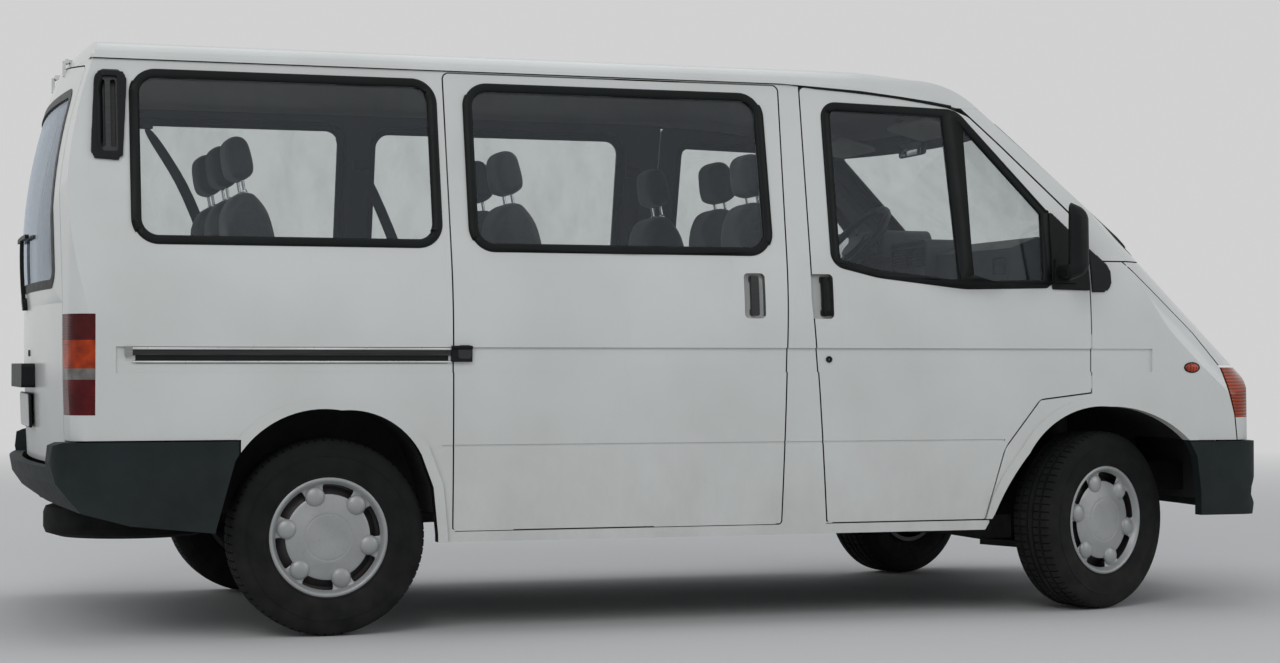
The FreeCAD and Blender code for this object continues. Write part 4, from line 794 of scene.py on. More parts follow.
def puffed(piece):
    # an even mesh, swollen by a pressure simulation whose travel is capped, then subdivided once
    look = seatLook
    useModifier(piece, "REMESH", "even", mode="VOXEL", voxel_size=look["voxel"])
    starts = [point.co.copy() for point in piece.data.vertices]
    takeUp(piece)
    change = piece.modifiers.new("swell", "CLOTH")
    change.settings.use_pressure = True
    change.settings.uniform_pressure_force = look["pressure"]
    change.settings.effector_weights.gravity = 0
    for step in range(1, look["frames"] + 1):
        bpy.context.scene.frame_set(step)
    bpy.ops.object.modifier_apply(modifier=change.name)
    for point, start in zip(piece.data.vertices, starts):
        move = point.co - start
        if move.length > look["travel"]:
            point.co = start + move * (look["travel"] / move.length)
    bpy.context.scene.frame_set(1)
    useModifier(piece, "SMOOTH", "even out", factor=0.5, iterations=3)
    useModifier(piece, "SUBSURF", "round", levels=1, render_levels=1)


def sewn(piece, test, depth):
    # draws a seam in along the points that pass the test
    look = seatLook
    enterEdit(piece, "VERT")
    pickPoints(piece, test)
    bpy.ops.transform.shrink_fatten(value=-depth, use_proportional_edit=True,
                                    proportional_edit_falloff="SHARP", proportional_size=look["seamReach"])
    leaveEdit()


def makeCushion():
    look = seatLook
    half = look["seamHalf"]
    long, wide, tall = look["cushion"]
    pad = block("seatCushion", (0, -wide / 2, 0), (long, wide / 2, tall))
    openAt(pad, facing(0, least=0.5))
    bpy.ops.transform.translate(value=(0, 0, -look["cushionDroop"]))
    leaveEdit()
    roundEdges(pad, look["cushionRounding"], 4)
    puffed(pad)
    top, inner = tall * 0.7, wide * 0.31
    sewn(pad, lambda p: abs(abs(p.y) - inner) < half and p.z > top, look["longSeam"])
    sewn(pad, lambda p: abs(p.x - long * 0.80) < half and p.z > top and abs(p.y) < inner, look["crossSeam"])
    return pad


def makeBack():
    look = seatLook
    half = look["seamHalf"]
    deep, wide, tall = look["back"]
    pad = block("seatBack", (-deep, -wide / 2, 0), (0, wide / 2, tall))
    openAt(pad, facing(2, least=0.5))
    bpy.ops.transform.translate(value=(0, 0, -sum(rise for rise, taper in look["shoulders"])))
    for rise, taper in look["shoulders"]:
        extrudeBy((0, 0, rise))
        bpy.ops.transform.resize(value=taper, center_override=(-deep / 2, 0, 0))
    leaveEdit()
    roundEdges(pad, look["backRounding"], 4, 20)
    puffed(pad)
    face, inner = -deep * 0.4, wide * 0.30
    sewn(pad, lambda p: abs(abs(p.y) - inner) < half and p.x > face and p.z < tall * 0.82, look["longSeam"])
    sewn(pad, lambda p: abs(p.z - tall * 0.42) < half and p.x > face and abs(p.y) < inner, look["crossSeam"])
    return pad


def makeRest():
    look = seatLook
    deep, wide, tall = look["rest"]
    pad = block("headrest", (-deep / 2, -wide / 2, 0), (deep / 2, wide / 2, tall))
    openAt(pad, facing(2, least=0.5))
    bpy.ops.transform.resize(value=look["restTaper"], center_override=(0, 0, 0))
    leaveEdit()
    roundEdges(pad, look["restRounding"], 6)
    puffed(pad)
    return pad


def makeStalks():
    # two bright posts from the backrest into the headrest
    pieces = []
    for part in ("stalk", "sleeve"):
        foot, top, radius = seatLook[part]
        for y in seatLook["stalkApart"]:
            piece = rod(part, (0, y, foot), (0, y, top), radius, 16)
            if part == "sleeve":
                roundEdges(piece, 0.002, 2)
            pieces.append(piece)
    return joined("headrestPosts", pieces)


def placeSeats():
    look = seatLook
    cushion, back, rest, posts = makeCushion(), makeBack(), makeRest(), makeStalks()
    rake = Matrix.Rotation(-look["rake"], 4, "Y")
    (cushionX, cushionZ), (backX, backZ) = look["cushionAt"], look["backAt"]
    for index, (nodeName, x, across, wide, rise, restX, restZ) in enumerate(seatRows):
        spread = Matrix.Diagonal((1, wide / look["cushion"][1] * look["spread"], 1, 1))
        leaning = rake @ spread @ Matrix.Diagonal((1, 1, rise, 1))
        low = Matrix.Translation((x + cushionX, across, cushionZ)) @ spread
        middle = Matrix.Translation((x + backX, across, backZ)) @ leaning
        high = Matrix.Translation((restX, across, restZ)) @ rake
        spots = [
            (cushion, "seatCushion", low, look["fill"]),
            (back, "seatBack", middle, look["fill"]),
            (rest, "headrest", high, look["restFill"]),
            (posts, "headrestPosts", high, None),
        ]
        for master, label, matrix, fill in spots:
            piece = copyOf(master, "%s%d" % (label, index))
            settle(piece, matrix)
            if fill is None:
                finished(piece, "shell", mirrorSilver)
                continue
            finished(piece, "shell", seatCloth, 60)
            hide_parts(nodeName)
    for master in (cushion, back, rest, posts):
        bpy.data.objects.remove(master)


placeSeats()

print("stage: fittings")


def touch(nodeName, start, direction):
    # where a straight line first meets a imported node, and that face's outward direction
    found, spot, normal, index = nodes[nodeName].ray_cast(Vector(start), Vector(direction))
    if not found:
        raise RuntimeError("no surface of %s ahead of %s" % (nodeName, tuple(start)))
    if normal.dot(Vector(direction)) > 0:
        normal = -normal
    return spot, normal


def upon(spot, normal, out=0.0):
    # local Z stands on the surface and local Y points up
    return Matrix.Translation(spot + normal * out) @ normal.to_track_quat("Z", "Y").to_matrix().to_4x4()


def asTrim(piece, finish=blackPlastic):
    finished(piece, "shell", finish)


def fitted(piece, name, spot, body, finish, angle=35):
    settle(piece, spot)
    finished(piece, body, finish, angle)
    piece.name = name


lockLook = {
    "radius": 0.0115,
    "proud": 0.0045,
    "rim": 0.0025,
    "sunk": 0.0015,
    "slot": 0.0045,
    "slotShape": (0.35, 1, 1),
    "slotDeep": 0.004,
    "rounding": 0.0006,
}


def makeLock():
    look = lockLook
    lock = rod("doorLock", (0, 0, -0.003), (0, 0, look["proud"]), look["radius"], 32)
    openAt(lock, facing(2))
    bpy.ops.mesh.inset(thickness=look["rim"])
    bpy.ops.transform.translate(value=(0, 0, -look["sunk"]))
    bpy.ops.mesh.inset(thickness=look["slot"])
    bpy.ops.transform.resize(value=look["slotShape"])
    extrudeBy((0, 0, -look["slotDeep"]))
    leaveEdit()
    roundEdges(lock, look["rounding"], 2)
    return lock


repeaterLook = {
    "half": (0.029, 0.0165, 0.010),
    "sealRadius": 0.033,
    "sealShape": (1, 0.61, 1),
    "sealProud": 0.0025,
}


def makeRepeater():
    # an oval lens on a thin oval seal
    look = repeaterLook
    lens = ball(1, around=40, rings=20)
    lens.scale = look["half"]
    applyPlace()
    cutBelow(lens, (0, 0, -0.001), (0, 0, 1))
    seal = rod("repeaterSeal", (0, 0, -0.003), (0, 0, look["sealProud"]), look["sealRadius"], 40)
    enterEdit(seal, "VERT")
    pickAll()
    bpy.ops.transform.resize(value=look["sealShape"])
    leaveEdit()
    roundEdges(seal, 0.0012, 2)
    return lens, seal


lockSpot = (aft(1.767), 0.918)
repeaterSpot = (aft(3.215), 0.889)
tailLockSpot = (-0.12, 0.940)
plateLook = {
    "size": (0.52, 0.112),
    "thick": 0.0018,
    "corner": 0.008,
    "rim": 0.0035,
    "groove": 0.0012,
    "sunk": 0.0009,
    "border": 0.004,
    "z": 0.742,
    "out": 0.012,
}


def makePlate():
    # a blank plate with a pressed rim, on a black carrier
    look = plateLook
    wide, tall = look["size"]
    plate = block("numberPlate", (-wide / 2, -tall / 2, 0), (wide / 2, tall / 2, look["thick"]))
    softenPicked(plate, upright, look["corner"], 4)
    openAt(plate, facing(2))
    bpy.ops.mesh.inset(thickness=look["rim"])
    bpy.ops.mesh.inset(thickness=look["groove"])
    bpy.ops.transform.translate(value=(0, 0, -look["sunk"]))
    leaveEdit()
    halfWide, halfTall = wide / 2 + look["border"], tall / 2 + look["border"]
    carrier = block("plateCarrier", (-halfWide, -halfTall, -0.010), (halfWide, halfTall, -0.0002))
    roundEdges(carrier, 0.003, 2)
    return plate, carrier


def beside(nodeName, side, spot):
    # the place and turn of a fitting on the side of the body
    x, z = spot
    return upon(*touch(nodeName, (x, side * 2, z), (0, -side, 0)))


def behind(nodeName, spot, out=0.0):
    # the same for a fitting on the tail
    y, z = spot
    return upon(*touch(nodeName, (-5, y, z), (1, 0, 0)), out)


for side, tag in sides:
    label = tag.capitalize()
    spot = beside("door_" + tag, side, lockSpot)
    fitted(makeLock(), "doorLock" + label, spot, "front_door_" + tag, blackPlastic)
    lens, seal = makeRepeater()
    spot = beside("wings", side, repeaterSpot)
    fitted(lens, "repeater" + label, spot, "shell", orangeLens, 60)
    fitted(seal, "repeaterSeal" + label, spot, "shell", sealRubber)
spot = behind("tailgate", tailLockSpot)
fitted(makeLock(), "tailgateLock", spot, "tailgate", blackPlastic)
plate, carrier = makePlate()
spot = behind("tailgate", (0, plateLook["z"]), plateLook["out"])
fitted(plate, "numberPlate", spot, "tailgate", plateWhite)
fitted(carrier, "plateCarrier", spot, "tailgate", blackPlastic)

print("stage: cabin")
dashLook = {
    "hood": ((fore(-0.325), 0.27, 1.335), (fore(-0.10), 0.63, 1.455)),
    "stack": ((fore(-0.335), -0.175, 1.085), (fore(-0.15), 0.175, 1.395)),
    "radio": ((fore(-0.339), -0.09, 1.205), (fore(-0.315), 0.09, 1.258)),
    "lid": ((fore(-0.308), -0.68, 1.105), (fore(-0.262), -0.24, 1.215)),
    "dialX": (fore(-0.272), fore(-0.277)),
    "dialZ": 1.393,
    "dials": ((0.37, 0.042), (0.53, 0.042), (0.45, 0.024)),
    "knobX": (fore(-0.331), fore(-0.351)),
    "knobs": ((-0.072, 1.2315, 0.009), (0.072, 1.2315, 0.009), (-0.08, 1.150, 0.016), (0.0, 1.150, 0.016),
              (0.08, 1.150, 0.016)),
}
# Each vent: name, then its x, y and z from and to.
ventRows = [
    ("centreVent0", (fore(-0.338), -0.150, 1.290), (fore(-0.305), -0.010, 1.365)),
    ("centreVent1", (fore(-0.338), 0.010, 1.290), (fore(-0.305), 0.150, 1.365)),
    ("sideVent0", (fore(-0.300), -0.785, 1.235), (fore(-0.262), -0.685, 1.300)),
    ("sideVent1", (fore(-0.300), 0.685, 1.235), (fore(-0.262), 0.785, 1.300)),
]
ventSlats = {"count": 4, "half": 0.0012, "from": 0.003, "deep": 0.017, "rim": 0.006, "droop": 0.004}


def pressedIn(piece, rim, depth, rounding, segments):
    # presses the face towards the seats in within a rim, and rounds the edges
    openAt(piece, facing(0, -1))
    bpy.ops.mesh.inset(thickness=rim)
    extrudeBy((depth, 0, 0))
    leaveEdit()
    roundEdges(piece, rounding, segments)


def ventGrille(name, low, high):
    # a frame pressed in, with slats across it
    look = ventSlats
    rim, half = look["rim"], look["half"]
    frameBox = block(name, low, high)
    pressedIn(frameBox, rim, depth=0.022, rounding=0.003, segments=2)
    pieces = [frameBox]
    rise = (high[2] - low[2] - 2 * rim) / (look["count"] + 1)
    start = low[0] + look["from"]
    for index in range(look["count"]):
        z = low[2] + rim + rise * (index + 1)
        slat = block(name, (start, low[1] + rim, z - half), (start + look["deep"], high[1] - rim, z + half))
        openAt(slat, facing(0, -1))
        bpy.ops.transform.translate(value=(0, 0, -look["droop"]))
        leaveEdit()
        roundEdges(slat, 0.0006, 1)
        pieces.append(slat)
    return joined(name, pieces)


def hollowed(name, corners, rim, depth, rounding, corner=0.0):
    # a rounded housing whose face towards the seats is pressed in
    low, high = corners
    box = block(name, low, high)
    if corner:
        middle = (low[2] + high[2]) / 2
        softenPicked(box, lambda a, b: abs(a.x - b.x) > 0.001 and a.z > middle, corner, 7)
    pressedIn(box, rim, depth, rounding, 4)
    return box


def makeDash():
    look = dashLook
    hood = hollowed("gaugeHood", look["hood"], rim=0.016, depth=0.05, rounding=0.007, corner=0.052)
    asTrim(hood, darkPlastic)
    dials = []
    start, end = look["dialX"]
    for y, radius in look["dials"]:
        dial = rod("dial", (start, y, look["dialZ"]), (end, y, look["dialZ"]), radius, 40)
        pressedIn(dial, rim=0.003, depth=0.003, rounding=0.0006, segments=1)
        dials.append(dial)
    asTrim(joined("gauges", dials), gaugeFace)
    stack = hollowed("centreConsole", look["stack"], rim=0.014, depth=0.012, rounding=0.006, corner=0.040)
    asTrim(stack, darkPlastic)
    for name, low, high in ventRows:
        asTrim(ventGrille(name, low, high))
    controls = [hollowed("radio", look["radio"], rim=0.004, depth=0.003, rounding=0.002)]
    start, end = look["knobX"]
    for y, z, radius in look["knobs"]:
        knob = rod("knob", (start, y, z), (end, y, z), radius, 24)
        roundEdges(knob, 0.002, 2)
        controls.append(knob)
    asTrim(joined("radio", controls))
    lid = block("gloveLid", *look["lid"])
    openAt(lid, facing(0, -1))
    bpy.ops.mesh.inset(thickness=0.012)
    bpy.ops.transform.translate(value=(0.004, 0, 0))
    leaveEdit()
    roundEdges(lid, 0.006, 3)
    asTrim(lid, darkPlastic)


leverLook = {
    "boot": ((fore(-0.62), 0.0, 0.560), (fore(-0.60), 0.0, 0.72), 0.075, 32),
    "bootTop": (0.25, 0.25, 1),
    "lever": ((fore(-0.603), 0.0, 0.70), (fore(-0.56), 0.0, 0.98), 0.007, 16),
    "ball": (fore(-0.558), 0, 0.995),
    "ballRadius": 0.024,
    "ballFoot": (0.6, 0.6, 1.3),
}


def makeLever():
    # a gear lever that rises from a tapered boot, with a ball drawn down on its end
    look = leverLook
    boot = rod("gearBoot", *look["boot"])
    openAt(boot, facing(2, least=0.8))
    bpy.ops.transform.resize(value=look["bootTop"])
    leaveEdit()
    roundEdges(boot, 0.008, 2)
    lever = rod("gearLever", *look["lever"])
    x, y, z = look["ball"]
    knob = ball(look["ballRadius"], look["ball"])
    enterEdit(knob, "VERT")
    pickPoints(knob, lambda p: p.z < z - 0.010)
    bpy.ops.transform.resize(value=look["ballFoot"], center_override=(x, y, z - 0.010))
    leaveEdit()
    asTrim(joined("gearLever", [boot, lever, knob]))


cabinMirrorLook = {
    "at": Vector((aft(2.546), 0.05, 1.771)),
    "head": (Vector((-0.012, -0.115, -0.036)), Vector((0.018, 0.115, 0.030))),
    "back": (1, 0.85, 0.75),
    "glass": (Vector((-0.0145, -0.105, -0.029)), Vector((-0.011, 0.105, 0.023))),
    "stalk": 0.006,
    "foot": 0.017,
}


def makeCabinMirror():
    look = cabinMirrorLook
    at = look["at"]
    head = block("cabinMirror", *[at + corner for corner in look["head"]])
    openAt(head, facing(0))
    bpy.ops.transform.resize(value=look["back"])
    leaveEdit()
    roundEdges(head, 0.010, 4)
    top, normal = touch("roof", (at.x - 0.06, at.y, 1.70), (0, 0, 1))
    stalk = rod("mirrorStalk", at + Vector((0.012, 0, 0.01)), top, look["stalk"], 16)
    foot = rod("mirrorFoot", top - Vector((0.004, 0, 0.012)), top, look["foot"], 24)
    roundEdges(foot, 0.003, 2)
    asTrim(joined("cabinMirror", [head, stalk, foot]))
    glass = block("cabinMirrorGlass", *[at + corner for corner in look["glass"]])
    roundEdges(glass, 0.0012, 2)
    finished(glass, "shell", mirrorSilver)


visorLook = {
    "x": (aft(2.300), aft(2.470)),
    "z": (1.790, 1.808),
    "across": 0.41,
    "half": 0.19,
    "tilt": math.radians(-14),
    "about": (aft(2.385), 0, 1.80),
    "arm": (aft(2.455), 1.800),
    "armSpan": (0.30, 0.62),
    "corner": 0.035,
    "rounding": 0.007,
}


def makeVisors():
    look = visorLook
    (back, front), (low, high) = look["x"], look["z"]
    (armX, armZ), (near, far) = look["arm"], look["armSpan"]
    for side, tag in sides:
        name = "visor" + tag.capitalize()
        middle = side * look["across"]
        visor = block(name, (back, middle - look["half"], low), (front, middle + look["half"], high))
        softenPicked(visor, upright, look["corner"], 5)
        roundEdges(visor, look["rounding"], 3, 50)
        takeUp(visor)
        bpy.ops.transform.rotate(value=look["tilt"], orient_axis="Y", center_override=look["about"])
        applyPlace()
        arm = rod("visorArm", (armX, side * near, armZ), (armX, side * far, armZ), 0.004, 12)
        finished(joined(name, [visor, arm]), "shell", visorVinyl)


def strap(name, points, wide, thick):
    # a flat belt: one edge drawn through its points, then given its thickness
    x, y, z = points[0]
    belt = drawnLine(name, [(x - wide / 2, y, z), (x + wide / 2, y, z)])
    pickAll()
    drawOn(points)
    leaveEdit()
    useModifier(belt, "SUBSURF", "curve", levels=2, render_levels=2)
    useModifier(belt, "SOLIDIFY", "webbing", thickness=thick, offset=0)
    return belt


def frontBelt(side):
    return ((fore(-1.235), side * 0.800, 1.700), (fore(-1.239), side * 0.795, 1.45),
            (fore(-1.231), side * 0.825, 1.20), (fore(-1.235), side * 0.860, 0.76))


# Each belt: name and the points from its upper loop down to its reel.
beltRows = [
    ("beltFrontRight", frontBelt(-1)),
    ("beltFrontLeft", frontBelt(1)),
    ("beltMiddleLeft", ((aft(0.440), 0.790, 1.700), (aft(0.495), 0.765, 1.58), (aft(0.580), 0.725, 1.36),
                        (aft(0.700), 0.620, 0.96))),
    ("beltRearLeft", ((aft(-0.422), 0.780, 1.840), (aft(-0.335), 0.745, 1.70), (aft(-0.245), 0.700, 1.54),
                      (aft(-0.080), 0.620, 1.02))),
]
beltLook = {
    "wide": 0.046,
    "thick": 0.0014,
    "fixing": (0.030, 0.012, 0.012),
    "loopTop": 0.030,
    "reelTop": 0.045,
}


def makeBelts():
    look = beltLook
    long, wide, down = look["fixing"]
    for name, points in beltRows:
        belt = strap(name, points, look["wide"], look["thick"])
        finished(belt, "shell", beltWeave, 60)
        fixings = []
        for (x, y, z), rise in ((points[0], look["loopTop"]), (points[-1], look["reelTop"])):
            fixing = block("fixing", (x - long, y - wide, z - down), (x + long, y + wide, z + rise))
            roundEdges(fixing, 0.005, 3)
            fixings.append(fixing)
        asTrim(joined(name + "Fixings", fixings))


makeDash()
makeLever()
makeCabinMirror()
makeVisors()
makeBelts()

print("stage: seals and mirrors")
sealLook = {"rim": 0.005, "rise": 0.0035, "innerRim": 0.55, "innerRise": 0.35, "screenRadius": 0.011}


def outward(middle, normal):
    # faces that look away from the body's middle, sideways or to the ends
    sideways = normal.y * middle.y > abs(middle.y) * 0.6
    return sideways or normal.x * middle.x > abs(middle.x) * 0.8


def mergedCopy(nodeName, name):
    # left in edit mode
    copy = copyOf(nodes[nodeName], name)
    enterEdit(copy)
    pickAll()
    bpy.ops.mesh.remove_doubles(threshold=0.00002)
    return copy


def dressedCopy(nodeName, name, look):
    # a packed seal whose outer faces are inset and raised to a rounded lip
    copy = mergedCopy(nodeName, name)
    pick(copy, outward)
    bpy.ops.mesh.inset(thickness=look["rim"])
    bpy.ops.transform.shrink_fatten(value=look["rise"])
    bpy.ops.mesh.inset(thickness=look["rim"] * look["innerRim"])
    bpy.ops.transform.shrink_fatten(value=look["rise"] * look["innerRise"])
    leaveEdit()
    return copy


def cutAway(piece, test):
    # deletes each whole shell that has a point which passes the test
    enterEdit(piece, "VERT")
    pickPoints(piece, test)
    bpy.ops.mesh.select_linked()
    bpy.ops.mesh.delete(type="VERT")
    leaveEdit()


def skin(side, x, z, nodeNames):
    # how far out the body's surface lies at a height and a place along it
    reach = 0.0
    inwards = Vector((0, -side, 0))
    for shift in (0, 0.008, -0.008, 0.02, -0.02):
        start = Vector((x + shift, side * 2, z))
        for nodeName in nodeNames:
            found, spot, normal, index = nodes[nodeName].ray_cast(start, inwards)
            if found:
                reach = max(reach, abs(spot.y))
        if reach > 0.5:
            break
    return side * reach


def skinPatch(name, side, outline, nodeNames, lift, thick, window=None):
    # a convex sheet laid on the body's surface, given its thickness, with rounded edges
    xs, zs = [x for x, z in outline], [z for x, z in outline]
    middle = ((min(xs) + max(xs)) / 2, side * 2, (min(zs) + max(zs)) / 2)
    clearAll()
    bpy.ops.mesh.primitive_grid_add(x_subdivisions=26, y_subdivisions=26, size=1, location=middle,
                                    rotation=(math.pi / 2, 0, 0))
    patch = bpy.context.active_object
    patch.name = name
    patch.scale = (max(xs) - min(xs), max(zs) - min(zs), 1)
    applyPlace()
    enterEdit(patch)
    for (x0, z0), (x1, z1) in zip(outline, outline[1:] + outline[:1]):
        pickAll()
        away = (z1 - z0, 0, x0 - x1)
        bpy.ops.mesh.bisect(plane_co=(x0, 0, z0), plane_no=away, clear_outer=True)
    if window:
        (lowX, lowZ), (highX, highZ) = window
        pick(patch, lambda spot, normal: lowX < spot.x < highX and lowZ < spot.z < highZ)
        bpy.ops.mesh.delete(type="FACE")
    pickAll()
    bpy.ops.mesh.normals_make_consistent(inside=False)
    leaveEdit()
    for point in patch.data.vertices:
        point.co.y = skin(side, point.co.x, point.co.z, nodeNames) + side * lift
    if patch.data.polygons[0].normal.y * side < 0:
        enterEdit(patch)
        pickAll()
        bpy.ops.mesh.flip_normals()
        leaveEdit()
    useModifier(patch, "SMOOTH", "even out", factor=0.5, iterations=4)
    useModifier(patch, "SOLIDIFY", "wall", thickness=thick, offset=1)
    roundEdges(patch, thick * 0.45, 3, 50)
    return patch


def tubed(line, radius):
    # turns a chain of edges into a round section
    takeUp(line)
    bpy.ops.object.convert(target="CURVE")
    line.data.bevel_depth = radius
    line.data.bevel_resolution = 3
    line.data.use_fill_caps = True
    bpy.ops.object.convert(target="MESH")
    return bpy.context.active_object


def tubeAlong(name, points, radius):
    line = drawnLine(name, points)
    leaveEdit()
    return tubed(line, radius)


mirrorLook = {
    "x": fore(-0.140),
    "y": 1.062,
    "low": 1.202,
    "tall": 0.282,
    "deep": 0.070,
    "wide": 0.138,
    "backFace": (1, 0.72, 0.80),
    "backTop": (0.94, 0.84, 1),
    "rounding": 0.036,
    "rim": 0.007,
    "sunk": 0.012,
    "margin": 0.016,
    "rounded": 0.006,
    "pane": (0.006, 0.0115, 0.020, 0.022),
    "arm": (0.915, 1.04),
    "armFrom": (-0.030, 0.012),
    "armTo": (0.032, 0.060),
    "armRounding": 0.012,
    "turn": math.radians(24),
    "sail": [(fore(-0.192), 1.171), (fore(-0.036), 1.167), (fore(-0.036), 1.331), (fore(-0.168), 1.458),
             (fore(-0.178), 1.458)],
    "foot": [(-0.045, -0.008), (0.045, -0.008), (0.034, 0.082), (-0.034, 0.082)],
    "cap": [(fore(-0.030), 1.165), (fore(0.018), 1.163), (fore(0.040), 1.176), (fore(0.052), 1.202),
            (fore(0.050), 1.240), (fore(0.040), 1.266), (fore(-0.012), 1.312), (fore(-0.030), 1.326)],
}


def makeMirror(side, tag):
    look = mirrorLook
    x, low, tall = look["x"], look["low"], look["tall"]
    deep, wide = look["deep"] / 2, look["wide"] / 2
    head = block("mirrorHead", (-deep, -wide, 0), (deep, wide, tall))
    openAt(head, facing(0))
    bpy.ops.transform.resize(value=look["backFace"])
    pick(head, lambda middle, normal: normal.z > 0.7)
    bpy.ops.transform.resize(value=look["backTop"])
    leaveEdit()
    softenPicked(head, lambda a, b: max(a.x, b.x) > 0, look["rounding"], 9)
    roundEdges(head, look["rounded"], 3, 50)
    openAt(head, facing(0, -1, 0.95))
    bpy.ops.mesh.inset(thickness=look["rim"])
    extrudeBy((look["sunk"], 0, 0))
    leaveEdit()
    half = wide - look["margin"]
    back, front, foot, top = look["pane"]
    pane = block("mirrorPane", (-deep + back, -half, foot), (-deep + front, half, tall - top))
    softenPicked(pane, lambda a, b: abs(a.x - b.x) > 0.001, look["margin"], 5)
    turn = Matrix.Rotation(side * look["turn"], 4, "Z")
    spot = Matrix.Translation((x, side * look["y"], low)) @ turn
    settle(head, spot)
    settle(pane, spot)
    near, far = sorted(side * reach for reach in look["arm"])
    (back, foot), (front, top) = look["armFrom"], look["armTo"]
    arm = block("mirrorArm", (x + back, near, low + foot), (x + front, far, low + top))
    roundEdges(arm, look["armRounding"], 4)
    body, label = "front_door_" + tag, tag.capitalize()
    carriers = ["door_" + tag, "wings", "screen_surround"]
    sail = skinPatch("mirrorSail", side, look["sail"], carriers, -0.001, 0.009)
    outline = [(x + along, low + rise) for along, rise in look["foot"]]
    foot = skinPatch("mirrorFoot", side, outline, carriers, 0.004, 0.012)
    trim = dressedCopy("door_trim_" + tag, "doorTrim" + label, sealLook)
    cutAway(trim, lambda p: abs(p.y) > 1.05)
    pieces = [trim, head, arm, sail, foot]
    for piece in pieces:
        piece.data.materials.clear()
    trim = joined("doorTrim" + label, pieces)
    finished(trim, body, sealRubber, 50)
    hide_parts("door_trim_" + tag)
    finished(pane, body, mirrorSilver)
    pane.name = "mirrorGlass" + label
    asTrim(skinPatch("wingCap" + label, side, look["cap"], carriers, -0.001, 0.009))


ventLook = {
    "outline": [(-2.118, 1.590), (-2.106, 1.566), (-2.030, 1.560), (-2.014, 1.580), (-1.998, 1.836),
                (-2.012, 1.860), (-2.088, 1.862), (-2.104, 1.840)],
    "window": ((-2.083, 1.598), (-2.030, 1.838)),
}


def makeVents():
    look = ventLook
    for side, tag in sides:
        name = "ventBezel" + tag.capitalize()
        carriers = ["side_panel_" + tag, "side_trim"]
        asTrim(skinPatch(name, side, look["outline"], carriers, 0.0, 0.010, look["window"]))


def makeScreenSeal():
    # a round rubber section along the edge of the windscreen
    ring = mergedCopy("windscreen", "screenSeal")
    pick(ring, lambda middle, normal: normal.x > 0.25 and normal.z > 0.1)
    bpy.ops.mesh.region_to_loop()
    bpy.ops.mesh.select_mode(type="EDGE")
    bpy.ops.mesh.select_all(action="INVERT")
    bpy.ops.mesh.delete(type="EDGE_FACE")
    leaveEdit()
    ring = tubed(ring, sealLook["screenRadius"])
    finished(ring, "shell", sealRubber, 60)
    ring.name = "screenSeal"


gutterShadowLook = {
    "from": aft(-0.76),
    "to": fore(-0.53),
    "steps": 29,
    "top": 1.915,
    "bottom": 1.80,
    "drop": 0.002,
    "out": 0.002,
    "up": 0.004,
    "radius": 0.0058,
}


def stations(look):
    # places along the body at even steps
    start, span, steps = look["from"], look["to"] - look["from"], look["steps"]
    return [start + index * span / steps for index in range(steps + 1)]


def makePaintedGutterShadow():
    # painted shadow: a dark tube in the seal rubber finish, laid in the joint under the roof's drip rail
    # where the rail's shadow falls
    panels = ["side_panel_right", "side_panel_left", "sliding_door", "door_right", "door_left"]
    look = gutterShadowLook
    for side, tag in sides:
        points = []
        for x in stations(look):
            z = look["top"]
            y = 0.0
            while z > look["bottom"] and abs(y) < 0.5:
                z -= look["drop"]
                y = skin(side, x, z, panels)
            if abs(y) > 0.5:
                points.append((x, y + side * look["out"], z + look["up"]))
        line = tubeAlong("gutterShadowStrip" + tag.capitalize(), points, look["radius"])
        # the seal rubber finish on this tube stands in for the drip rail's shadow
        finished(line, "shell", sealRubber, 60)


railLook = {
    "from": aft(-0.650),
    "to": aft(0.404),
    "steps": 20,
    "sunk": 0.0045,
    "lips": (("railLipTop", 0.9520, 0.0050), ("railLipFoot", 0.9090, 0.0036)),
    "channel": (0.9028, 0.9576),
    "cap": [(aft(0.400), 0.916), (aft(0.408), 0.908), (aft(0.466), 0.908), (aft(0.474), 0.916),
            (aft(0.474), 0.956), (aft(0.466), 0.964), (aft(0.408), 0.964), (aft(0.400), 0.956)],
}


def makeRail():
    # bright lips along a black channel in the recessed band, with a black cap over the joint ahead of them
    look = railLook
    panel = ["side_panel_right"]
    for name, z, radius in look["lips"]:
        points = [(x, skin(-1, x, z, panel) - look["sunk"], z) for x in stations(look)]
        finished(tubeAlong(name, points, radius), "shell", railSteel, 60)
    low, high = look["channel"]
    outline = [(look["from"], low), (look["to"], low), (look["to"], high), (look["from"], high)]
    asTrim(skinPatch("railChannel", -1, outline, panel, 0.0, 0.003))
    asTrim(skinPatch("railCap", -1, look["cap"], ["sliding_door"] + panel, 0.001, 0.012))


for side, tag in sides:
    makeMirror(side, tag)
seals = dressedCopy("window_seals", "windowSeals", sealLook)
finished(seals, "shell", sealRubber, 50)
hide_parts("window_seals")
makeVents()
makeScreenSeal()
makePaintedGutterShadow()
makeRail()

print("stage: light and camera")
stageLook = {
    "floor": (0.72, 0.72, 0.71),
    "sky": (0.80, 0.84, 0.90),
    "skyStrength": 0.42,
    "backdrop": 0.64,
    "fadeFrom": 4.0,
    "fadeTo": 17.0,
}


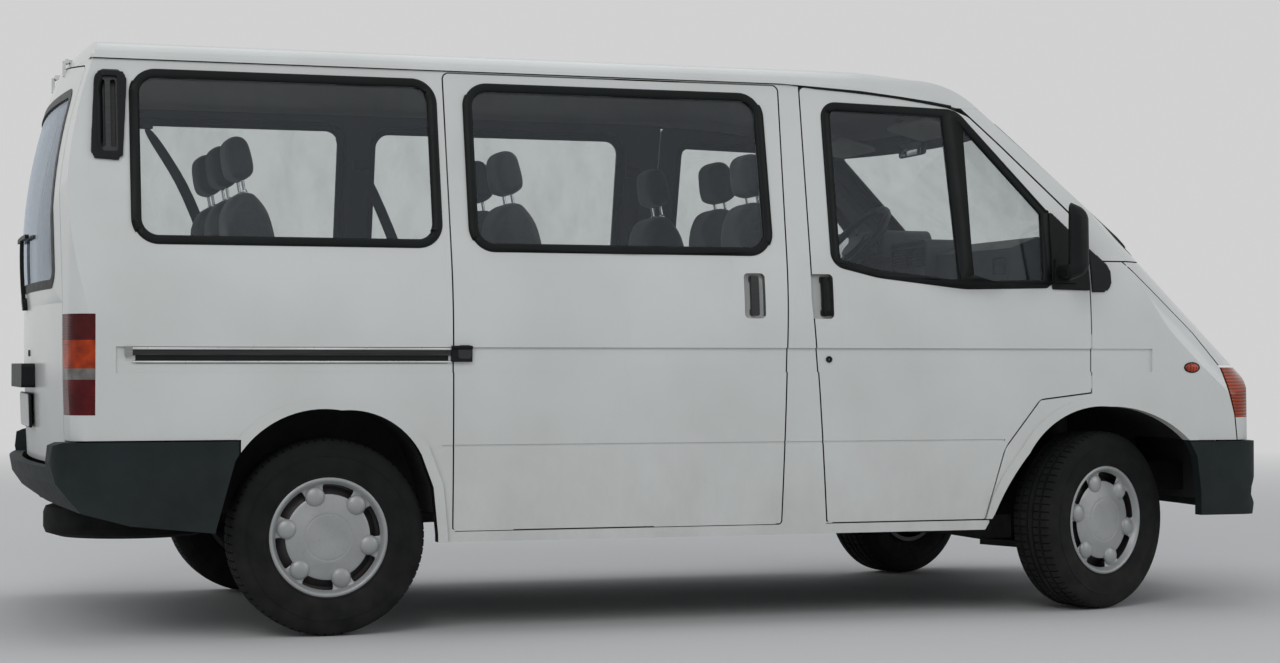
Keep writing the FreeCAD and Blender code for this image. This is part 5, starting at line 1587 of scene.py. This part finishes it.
def makeStage():
    look = stageLook
    clearAll()
    bpy.ops.mesh.primitive_plane_add(size=160, location=(0, 0, -0.001))
    floor = bpy.context.active_object
    floor.name = "studioFloor"
    mat = newFinish("studioFloor", look["floor"], 0.9, spec=0.1)
    # far out the floor passes into the backdrop, for the camera alone
    coords = node(mat, "TexCoord").outputs["Object"]
    reach = vectorWork(mat, "LENGTH", coords)["Value"]
    far = ranged(mat, reach, look["fadeFrom"], look["fadeTo"])
    seen = node(mat, "LightPath").outputs["Is Camera Ray"]
    pale = node(mat, "Emission", {"Strength": look["backdrop"]}).outputs[0]
    shaders = mat.node_tree.nodes
    passed = blended(mat, times(mat, far, seen), shaders["Principled BSDF"].outputs[0], pale)
    feed(mat, shaders["Material Output"].inputs["Surface"], passed)
    floor.data.materials.append(mat)


def makeSky():
    # a soft sky lights the piece, and the camera and the reflections see a plain pale backdrop
    look = stageLook
    world = bpy.data.worlds.new("studioSky")
    bpy.context.scene.world = world
    world.use_nodes = True
    world.node_tree.nodes.clear()
    rays = node(world, "LightPath").outputs
    seen = worked(world, "MAXIMUM", rays["Is Camera Ray"], rays["Is Glossy Ray"])
    seen = worked(world, "MAXIMUM", seen, rays["Is Transmission Ray"])
    soft = node(world, "Background", {"Color": look["sky"], "Strength": look["skyStrength"]})
    white = node(world, "Background", {"Color": (1, 1, 1), "Strength": look["backdrop"]})
    node(world, "OutputWorld", {"Surface": blended(world, seen, soft.outputs[0], white.outputs[0])})


lampSet = {
    "key": {"at": (-5.5, -8.5, 7.5), "size": 6.0, "power": 270},
    "fill": {"at": (7.5, -6.0, 4.5), "size": 5.0, "power": 100},
    "top": {"at": (0.0, 1.5, 8.5), "size": 7.0, "power": 120},
    "back": {"at": (-8.0, 6.0, 5.0), "size": 5.0, "power": 110},
}
aimPoint = Vector((0, 0, 0.9))


def standing(name, data, at):
    placed = bpy.data.objects.new(name, data)
    bpy.context.collection.objects.link(placed)
    placed.location = at
    return placed


def makeLamps():
    for name, one in lampSet.items():
        data = bpy.data.lights.new(name + "Lamp", "AREA")
        data.shape = "SQUARE"
        data.size = one["size"]
        data.energy = one["power"]
        lamp = standing(name + "Lamp", data, one["at"])
        lamp.rotation_euler = (aimPoint - lamp.location).to_track_quat("-Z", "Y").to_euler()


cameraSet = {"at": (-2.7956, -8.7543, 0.8987), "yaw": 0.3123, "pitch": 0.014, "lens": 67.12}


def makeCamera():
    data = bpy.data.cameras.new("camera")
    data.lens = cameraSet["lens"]
    data.sensor_width = 36.0
    data.clip_end = 200
    camera = standing("camera", data, cameraSet["at"])
    camera.rotation_euler = (math.pi / 2 + cameraSet["pitch"], 0, -cameraSet["yaw"])
    bpy.context.scene.camera = camera


makeStage()
makeSky()
makeLamps()
makeCamera()
bpy.context.scene.view_settings.view_transform = "Standard"
clearAll()
